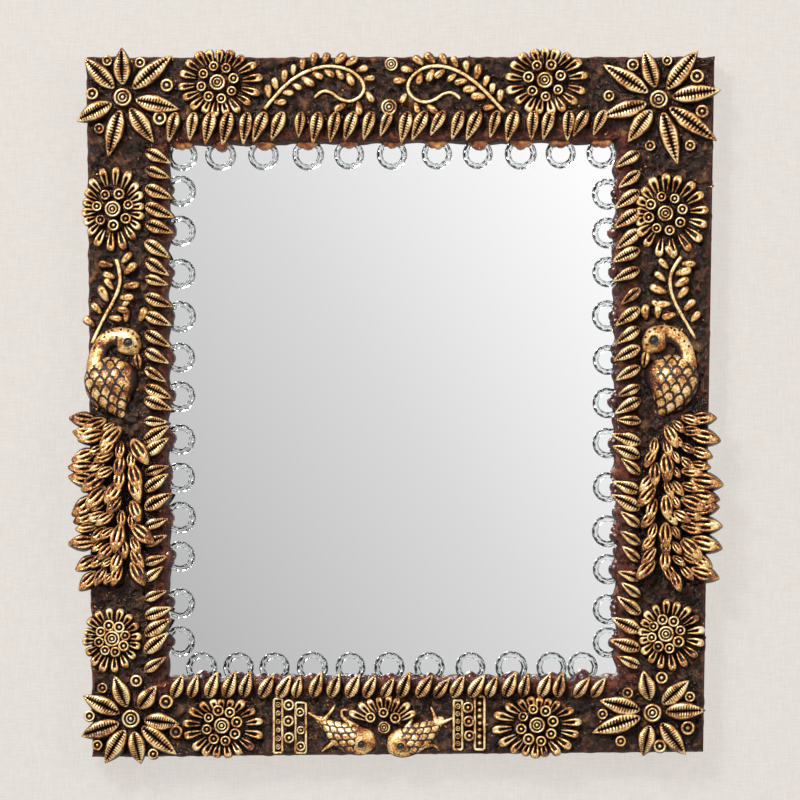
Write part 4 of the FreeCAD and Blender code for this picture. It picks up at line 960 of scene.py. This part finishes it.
for name, (places_px, left_count, left_to, right_count, right_to) in vines.items():
    parts = [grown_mesh("vine", [(bud_spray, {
        "Piece": bud, "Material": gilt, "Seed": 51, "Turn Jitter": 0.22, "Size Jitter": 0.16,
        "Left Count": left_count, "Left To": left_to, "Right Count": right_count, "Right To": right_to,
        "From": 0.06, **(side_buds if name in loose_buds else scroll_buds)}), (
            rolled_line, {"Material": gilt, **stem_widths})], line_curve("stem", [places_px], stem_depth))]
    if name in loose_buds:
        parts.append(laid(bud, gilt, [
            at_photo(column, row, tuple(share * side for side in loose_bud_size), math.radians(turn))
            for column, row, turn, share in loose_buds[name]], 52, 0.2, 0.1))
    make_relief("vine_" + name, joined(parts))
top_beads = [at_photo(389, 107, (0.0058, 0.0052, 0.0058)), at_photo(391, 64, (0.0048, 0.0040, 0.0048))]
make_piece("top_beads_gilded", laid(ringed_boss, gilt, top_beads), "gilded_relief", "top_spiral_beads")


# Peacocks: plump bodies modelled in the hand, with the neck hooked over and scales cut in the breast.
# The eye is a tube pressed in, and the beak is a split bean of paste.
def smooth_spine(spine, steps):
    knots = np.array(spine, float)
    places = np.linspace(0, len(knots) - 1, steps)
    rows = []
    for place in places:
        index = min(int(place), len(knots) - 2)
        t = place - index
        p0, p1, p2, p3 = [knots[min(max(index + k, 0), len(knots) - 1)] for k in (-1, 0, 1, 2)]
        rows.append(0.5 * (2 * p1 + (p2 - p0) * t + (2 * p0 - 5 * p1 + 4 * p2 - p3) * t ** 2
                           + (3 * p1 - p0 - 3 * p2 + p3) * t ** 3))
    return np.array(rows)


def scale_marks(along, aside, width, length):
    # Overlapping scales with round ends: how high a point stands in its scale, and how dark it is
    row = math.floor(along / length)
    for number in (row - 1, row, row + 1):
        offset = 0.5 * (number % 2)
        sideways = (aside / width - offset - round(aside / width - offset)) / 0.54
        forward = max(0.0, along - number * length) / (1.08 * length)
        out = math.hypot(sideways, forward)
        if out < 1:
            return 1 - out * out, min(1.0, max(0.0, (1 - out) / 0.22 - 0.35))
    return 0.0, 0.0


thinnest_half = 0.0008


def swelled_mesh(name, spine, steps, sides, depth_share, marks):
    # A closed half-round body along a spine; marks gives the lift and the gilding at each point, painted shade
    # included
    rows = smooth_spine([(across(c), down(r), half * photo_pixel) for c, r, half in spine], steps)
    runs = np.gradient(rows[:, :2], axis=0)
    lengths = np.concatenate([[0], np.cumsum(np.linalg.norm(np.diff(rows[:, :2], axis=0), axis=1))])
    points, crests = [], []
    for row, run, length in zip(rows, runs, lengths):
        heading = run / np.linalg.norm(run)
        half = max(row[2], thinnest_half)
        for number in range(sides + 1):
            angle = math.pi * number / sides
            aside, rise = half * math.cos(angle), half * depth_share * math.sin(angle)
            x, z = row[0] - heading[1] * aside, row[1] + heading[0] * aside
            lift, tone = marks(length, aside, x, z)
            # Near the foot the marks flatten out and the gilding goes dark: painted shade where the body meets the
            # ground.
            bare = min(1.0, math.sin(angle) * 2.2)
            points.append((x, coat_front - rise - lift * bare + bedding * (number in (0, sides)), z))
            crests.append((0.2 + 0.78 * bare) * tone)
    columns = sides + 1
    faces = loft_faces(steps, columns)
    faces.append(tuple(range(sides, -1, -1)))
    faces.append(tuple((steps - 1) * columns + column for column in range(columns)))
    mesh = new_mesh(name, points, faces, crests)
    mesh.materials.append(gilt_smooth)
    return mesh


gilt_smooth = gilded_finish("gilded_paste_smooth", 0.16, 220.0)
eye_tube = turned_boss("eye_tube", (
    (0.0, 0.6, 0), (0.2, 0.5, 0), (0.48, 0.1, 0), (0.66, 0.24, 0), (0.76, 0.92, 0.7), (0.86, 1.0, 1),
    (0.95, 0.8, 0.95), (1.0, 0.3, 0.8), (1.0, 0.0, 0.6)), 26)
beak_bean = paste_leaf("beak_bean", (
    (0.04, 0.5, 0.6), (0.2, 0.9, 0.9), (0.45, 1.0, 1.0), (0.7, 0.74, 0.85), (0.9, 0.36, 0.6)), (
    (0.0, 0.4, 0.0), (0.08, 0.45, 0.0), (0.2, 0.95, 0.95), (0.55, 1.0, 1.0), (0.85, 0.6, 0.6), (1.0, 0.0, 0.1)),
    (0.0, 1.0))
body_spine = (
    (122, 416, 2), (118, 409, 11), (113.5, 399, 20.5), (111, 388, 26), (110.5, 377, 27.5), (110, 367, 24),
    (110, 360, 15), (110, 356, 4))
neck_spine = (
    (107, 396, 8), (99, 385, 11), (96, 373, 11), (95.5, 361, 9.5), (98, 350, 8.5), (103, 341.5, 8.5),
    (110.5, 336.5, 9), (118, 336, 10.5), (124, 338.5, 13), (128, 342.5, 13.5), (132.5, 348, 10.5), (135.5, 353, 4))
pits_px = ((103.6, 336.3), (107.8, 331.2), (111, 329.3), (120.3, 328.6), (127.6, 330), (132.7, 333), (136.6, 338.4),
           (116.1, 336.6), (115.2, 339), (135.3, 346), (98, 342.5), (93.5, 347.6), (103, 331.6))
eye_px, beak_px, beak_deg = (128, 342), (136.2, 353), -82.0
eye_size = (0.0040, 0.0014, 0.0040)
eye_depth = coat_front - 0.0071
beak_size = (0.0112, 0.0068, 0.0076)
peacock_mirror_px = 782
scale_size = (0.0080, 0.0056)
scale_lift = 0.0011
smooth_flank_px = 14
pit_radius = 0.0009
pit_depth = 0.0006
# How far along the neck the painted shade on its inner side runs
shaded_neck = 0.05
figure_share = 0.62
neck_share = 0.78


def to_side(side, places_px):
    if side == "left":
        return list(places_px)
    return [(peacock_mirror_px - column, *rest) for column, *rest in places_px]


for side, glass_side in (("left", -1.0), ("right", 1.0)):
    pits = [(across(column), down(row)) for column, row in to_side(side, pits_px)]

    def scaled_marks(along, aside, x, z):
        # Past the scales, the flank towards the glass gets darker and darker: painted shade on that side of the body.
        past = glass_side * aside / photo_pixel - smooth_flank_px
        if past > 0:
            return 0.0, max(0.35, 0.95 - past * 0.045)
        stand, tone = scale_marks(along, aside * 1.12, *scale_size)
        return scale_lift * (stand - 0.6), tone

    def pitted_marks(along, aside, x, z):
        near = min(math.hypot(x - pit_x, z - pit_z) for pit_x, pit_z in pits)
        pressed = max(0.0, 1 - near / pit_radius)
        # The inner side of the neck near its base is darkened: painted shade in the hollow between the neck and the
        # breast. The pressed pits are dark dots.
        inside = glass_side * aside / photo_pixel if along < shaded_neck else 0.0
        shaded = min(1.0, max(0.0, (inside - 1.5) / 5))
        return -pit_depth * pressed, (1 - 0.95 * min(1.0, pressed * 2.2)) * (1 - 0.7 * shaded)

    side_eye_px, side_beak_px = to_side(side, (eye_px, beak_px))
    beak_turn = math.radians(beak_deg if side == "left" else 180 - beak_deg)
    body = swelled_mesh("peacock", to_side(side, body_spine), 110, 72, figure_share, scaled_marks)
    neck = swelled_mesh("neck", to_side(side, neck_spine), 170, 48, neck_share, pitted_marks)
    eye = laid(eye_tube, gilt_smooth, [at_photo(*side_eye_px, eye_size, depth=eye_depth)])
    beak = laid(beak_bean, gilt_smooth, [at_photo(*side_beak_px, beak_size, beak_turn)])
    make_relief("peacock_" + side, joined([body, neck, eye, beak]))

# Peacock tails: bands of pointed feathers with a raised rim and a vein, laid over each other from
# the rump down. The outer tips stand out past the edge of the frame.
feather = paste_leaf("feather", (
    (0.03, 0.3, 0.4), (0.1, 0.5, 0.58), (0.2, 0.72, 0.76), (0.32, 0.9, 0.9), (0.44, 1.0, 0.97), (0.56, 0.97, 1.0),
    (0.68, 0.84, 1.0), (0.79, 0.65, 0.96), (0.89, 0.42, 0.88), (0.97, 0.17, 0.72)), (
    (0.0, 0.96, 1.0), (0.14, 0.9, 0.9), (0.24, 0.52, 0.1), (0.32, 0.54, 0.14), (0.45, 0.9, 0.8), (0.6, 1.0, 0.95),
    (0.8, 0.7, 0.5), (0.93, 0.34, 0.06), (1.0, 0.0, 0.0)), (0.16, 0.66), 0.12)
large_feather = (0.0180, 0.0100, 0.0108)
mid_feather = (0.0166, 0.0096, 0.0104)
small_feather = (0.0124, 0.0092, 0.0080)
tail_bands = (
    (97, 420, 570, 11, 176.0, 214.0, large_feather, 0.0),
    (106, 418, 566, 12, 198.0, 226.0, mid_feather, 0.0010),
    (114, 422, 572, 11, 214.0, 240.0, small_feather, 0.0028),
    (121, 426, 564, 11, 240.0, 262.0, mid_feather, 0.0020),
    (131, 438, 560, 11, 282.0, 304.0, mid_feather, 0.0004),
)
tail_mirror_px = 786
gilt_feather = gilded_finish("gilded_paste_feather", 0.1, 420.0)
for side in ("left", "right"):
    steps = []
    for number, (column, first_row, last_row, count, first_deg, last_deg, size, lift) in enumerate(tail_bands):
        if side == "right":
            column, first_deg, last_deg = tail_mirror_px - column, 180 - first_deg, 180 - last_deg
        steps.append((leaf_row, {
            "Piece": feather, "Material": gilt_feather, "Seed": 60 + number + 10 * (side == "right"),
            "Turn Jitter": 0.42, "Size Jitter": 0.28,
            "First": (across(column), bed - lift, down(first_row)),
            "Last": (across(column), bed - lift, down(last_row)),
            "Count": count, "First Turn": math.radians(first_deg), "Last Turn": math.radians(last_deg),
            "Size": size}))
    make_relief("peacock_tail_" + side, grown_mesh("tail", steps))

# Fish: two small fish nose to nose, modelled as the peacocks are, with scales scratched in.
# The eyes are pressed tubes, and the fins and forked tails are thin tapered rolls.
fish = {
    "left": (
        ((375, 742.5, 3), (372, 742, 8.5), (367, 741, 12.5), (359, 740, 14.8), (349, 737.5, 15), (340, 733.5, 13.2),
         (331.5, 727.5, 10), (324.5, 722.3, 6.4), (319, 718.6, 3.8), (316, 716.5, 1.6)), (361.4, 744),
        (((326, 723), (316, 717), (307.8, 711.8)), ((322, 721), (330, 713), (335, 704)),
         ((336, 740), (328, 745.5), (321.5, 750.5)),
         ((358, 727), (347, 721), (340.5, 714.5), (342, 708), (348, 709.5)))),
    "right": (
        ((387, 746.5, 3), (389.5, 746, 8.5), (394.5, 744.5, 12.5), (403, 742, 15), (413, 738, 15), (422.5, 733, 13),
         (431, 727, 10), (436.5, 722.4, 6.4), (440.5, 719, 3.8), (442.5, 717, 1.6)), (400.8, 745.8),
        (((436, 723), (434, 713.5), (430.5, 706.5)), ((436, 723.5), (446, 721), (453, 717)),
         ((420, 746), (430, 744.5), (436, 745.5), (438.5, 750)), ((405, 728), (412, 722), (412, 713.5)))),
}
scaled_run = (0.0125, 0.0400)
fish_scale_size = (0.0052, 0.0046)
fish_scale_lift = 0.0008
fish_eye_size = (0.0031, 0.0012, 0.0031)
fish_eye_depth = coat_front - 0.0048
fin_widths = {"Width": 0.0044, "End Width": 0.0010}
fin_depth = coat_front - 0.0004
fish_share = 0.5


def fish_marks(along, aside, x, z):
    if not scaled_run[0] < along < scaled_run[1]:
        return 0.0, 1.0
    stand, tone = scale_marks(along, aside * 1.1, *fish_scale_size)
    return fish_scale_lift * (stand - 0.5), tone


for side, (spine, fish_eye_px, lines_px) in fish.items():
    body = swelled_mesh("fish", spine, 150, 56, fish_share, fish_marks)
    eye = laid(eye_tube, gilt_smooth, [at_photo(*fish_eye_px, fish_eye_size, depth=fish_eye_depth)])
    fins = grown_mesh("fins", [(rolled_line, {"Material": gilt_smooth, **fin_widths})],
                      line_curve("fins", lines_px, fin_depth))
    make_relief("fish_" + side, joined([body, eye, fins]))

# Bead panels: two long loops of thin rolled paste with three ringed drums between them.
# Small beads fill one loop of each panel and larger beads or dots the other.
dot = turned_boss("dot", ((0.0, 1.0, 1), (0.5, 0.86, 1), (0.85, 0.5, 0.6), (1.0, 0.0, 0.0)), 10)


def slot_outline(column, half, top_row, low_row):
    return ((column - half, top_row + half), (column - half, top_row), (column, top_row), (column + half, top_row),
            (column + half, top_row + half), (column + half, low_row - half), (column + half, low_row),
            (column, low_row), (column - half, low_row), (column - half, low_row - half))


panels = {
    "left": ((slot_outline(277.8, 4.2, 698, 752), slot_outline(300.4, 5.2, 702, 752)),
             ((288.6, 704.4), (288.3, 720.4), (289, 737)), (278, 704, 746, 6),
             ((299.8, 711.5), (300.6, 729.5), (300.6, 745.5))),
    "right": ((slot_outline(457.6, 4.2, 700, 749), slot_outline(479.2, 4.8, 696, 749)),
              ((467.8, 707.2), (468.5, 721), (469.2, 735.2)), (457.6, 706, 743, 6),
              tuple((479.2, 703 + 6.6 * number) for number in range(7))),
}
loop_widths = {"Width": 0.0018, "End Width": 0.0018}
loop_depth = coat_front - 0.0006
panel_drum_size = (0.0041, 0.0050, 0.0041)
small_bead_size = (0.0020, 0.0034, 0.0020)
end_beads = {"left": (ring_bead, (0.0032, 0.0038, 0.0032)), "right": (dot, (0.0018, 0.0032, 0.0018))}
for side, (outlines, drums_px, (bead_column, *bead_rows), ends_px) in panels.items():
    lines = grown_mesh("panel", [(rolled_line, {"Material": gilt, **loop_widths})],
                       line_curve("panel", outlines, loop_depth, True))
    drum_places = [at_photo(*drum_px, panel_drum_size) for drum_px in drums_px]
    small_places = [at_photo(bead_column, row, small_bead_size) for row in np.linspace(*bead_rows)]
    end_bead, end_size = end_beads[side]
    end_places = [at_photo(*end_px, end_size) for end_px in ends_px]
    make_relief("bead_panel_" + side, joined([
        lines, laid(ring_bead, gilt, drum_places, 71, 3.0, 0.05), laid(ring_bead, gilt, small_places, 72, 3.0, 0.2),
        laid(end_bead, gilt, end_places, 73, 3.0, 0.12)]))

# Wall and floor: a pale linen wall behind the mirror and a floor of the same far below.
# They are seen from the front only, and give off most of their own light so that they stay even.
wall_paint, tree, shader = new_material("linen_wall", Roughness=0.9)
coords = object_coords(tree)
weave = [noise_of(tree, add_node(tree, "ShaderNodeMapping", {
    "Vector": coords, "Scale": stretch})["Vector"], 1500.0, 2.0) for stretch in ((0.08, 1.0, 1.0), (1.0, 1.0, 0.08))]
threads = weighed(tree, weave[0], 0.5, weave[1], 0.5)
linen = colour_ramp(tree, threads, ((0.3, (218, 212, 205)), (0.7, (231, 226, 221))))
tree.links.new(linen, shader["Base Color"])
bump(tree, shader, threads, 0.0003, 0.3)
clear_back = add_node(tree, "ShaderNodeBsdfTransparent")["BSDF"]
seen_back = add_node(tree, "ShaderNodeNewGeometry")["Backfacing"]
rays = add_node(tree, "ShaderNodeLightPath")
seen = math_node(tree, "MAXIMUM", rays["Is Camera Ray"], math_node(
    tree, "MAXIMUM", rays["Is Glossy Ray"], rays["Is Transmission Ray"]))
own_light = add_node(tree, "ShaderNodeEmission", {"Color": linen})["Emission"]
solid_face = add_node(tree, "ShaderNodeMixShader", {
    0: times(tree, seen, 0.86), 1: tree.nodes["Principled BSDF"].outputs["BSDF"],
    2: own_light})["Shader"]
one_sided = add_node(tree, "ShaderNodeMixShader", {0: seen_back, 1: solid_face, 2: clear_back})["Shader"]
tree.links.new(one_sided, tree.nodes["Material Output"].inputs["Surface"])
wall_half, floor_level = 4.0, -1.4
wall_gap = 0.0005


def stage_sheet(name, corners, material, seen_by_camera):
    mesh = new_mesh(name, corners, [(0, 1, 2, 3)])
    mesh.materials.append(material)
    sheet = bpy.data.objects.new(name, mesh)
    scene.collection.objects.link(sheet)
    sheet.visible_camera = seen_by_camera
    sheet.visible_diffuse = False
    sheet.visible_shadow = False
    return sheet


stage_sheet("wall", [(-wall_half, wall_gap, floor_level), (wall_half, wall_gap, floor_level),
                     (wall_half, wall_gap, wall_half), (-wall_half, wall_gap, wall_half)], wall_paint, True)
stage_sheet("floor", [(x * wall_half, y * wall_half, floor_level) for x, y in ((-1, -1), (1, -1), (1, 1), (-1, 1))],
            wall_paint, True)


# Graded card in front of the mirror: white to the upper right, grey to the lower left.
# Dark flags round it draw the edges of the metal and the glass, and pale further out.
# Only the mirror, the metal and the rings see them.
def glowing_finish(name):
    material = bpy.data.materials.new(name)
    material.use_nodes = True
    tree = material.node_tree
    glow = tree.nodes.new("ShaderNodeEmission")
    tree.links.new(glow.outputs["Emission"], tree.nodes["Material Output"].inputs["Surface"])
    return material, tree, glow.inputs["Color"]


card_half = 0.27
card_distance = 0.9
view_azimuth, view_elevation = math.radians(4.0), math.radians(-3.0)
card_x = -card_distance * math.tan(view_azimuth)
card_z = -card_distance * math.tan(view_elevation)
card_paint, tree, colour = glowing_finish("graded_card")
spot = add_node(tree, "ShaderNodeSeparateXYZ", {"Vector": object_coords(tree)})
slope = weighed(tree, spot["X"], 0.62, spot["Z"], 0.42)
tree.links.new(colour_ramp(tree, fitted(tree, slope, -0.158, 0.158), (
    (0.0, (187, 187, 187)), (0.5, (220, 220, 220)), (1.0, (255, 255, 255)))), colour)
card = stage_sheet("graded_card", [
    (x * card_half, 0, z * card_half) for x, z in ((-1, -1), (-1, 1), (1, 1), (1, -1))], card_paint, False)
card.location = (card_x, -card_distance, card_z)
flag_cloth, tree, colour = glowing_finish("flag_cloth")
away = add_node(tree, "ShaderNodeVectorMath", {
    0: object_coords(tree), 1: (card_x, -card_distance, card_z)}, operation="DISTANCE")["Value"]
tree.links.new(colour_ramp(tree, fitted(tree, away, 0.4, 0.75), (
    (0.0, (12, 12, 12)), (0.5, (70, 70, 70)), (1.0, (196, 196, 196)))), colour)
for name, left, right, low, high in (
        ("flag_right", card_x + card_half, 1.7, -1.4, 0.9),
        ("flag_below", -1.4, card_x + card_half, -1.4, card_z - card_half),
        ("flag_left", -1.4, card_x - card_half, card_z - card_half, 0.12),
        ("flag_above", 0.0, card_x + card_half, card_z + card_half, 0.9)):
    stage_sheet(name, [(x, -card_distance, z) for x, z in (
        (left, low), (right, low), (right, high), (left, high))], flag_cloth, False)

# Light: a weak sky, a big soft window from the upper left with a small bulb inside it for
# the glints, a fill from the right, and a lamp behind the wall for the views of the back.
world = bpy.data.worlds.new("studio")
world.use_nodes = True
tree = world.node_tree
sky = add_node(tree, "ShaderNodeSeparateXYZ", {"Vector": add_node(tree, "ShaderNodeTexCoord")["Generated"]})
high_left = weighed(tree, sky["Z"], 0.7, sky["X"], -0.5)
backdrop = tree.nodes["Background"].inputs
tree.links.new(colour_ramp(tree, fitted(tree, high_left, -0.7, 0.7), (
    (0.0, (196, 195, 194)), (1.0, (255, 254, 252)))), backdrop["Color"])
backdrop["Strength"].default_value = 0.3
scene.world = world
for name, place, size, power in (
        ("window", (-1.35, -2.7, 2.0), 1.6, 100.0), ("bulb", (-0.9, -2.2, 1.5), 0.3, 34.0),
        ("fill", (1.9, -2.2, 0.6), 1.4, 36.0), ("behind", (0.6, 2.2, 1.0), 1.6, 40.0)):
    lamp = bpy.data.lights.new(name, "AREA")
    lamp.shape = "SQUARE"
    lamp.size = size
    lamp.energy = power
    lamp.color = srgb(255, 253, 250)[:3]
    holder = bpy.data.objects.new(name, lamp)
    holder.location = place
    holder.rotation_euler = (-Vector(place)).to_track_quat("-Z", "Y").to_euler()
    scene.collection.objects.link(holder)

# Camera: a long lens a little to the right of the middle and below it, as in the photograph.
# The lens isn't shifted, so the other views use it as it is.
camera_data = bpy.data.cameras.new("camera")
camera_data.lens = 548.1
camera_data.sensor_width = 36.0
camera_data.clip_end = 60.0
camera = bpy.data.objects.new("camera", camera_data)
camera_distance = 8.0
view_middle = Vector((0.00465, coat_front, 0.0071))
towards_camera = Vector((math.sin(view_azimuth) * math.cos(view_elevation),
                         -math.cos(view_azimuth) * math.cos(view_elevation), math.sin(view_elevation)))
camera.location = view_middle + towards_camera * camera_distance
camera.rotation_euler = (-towards_camera).to_track_quat("-Z", "Y").to_euler()
scene.collection.objects.link(camera)
scene.camera = camera
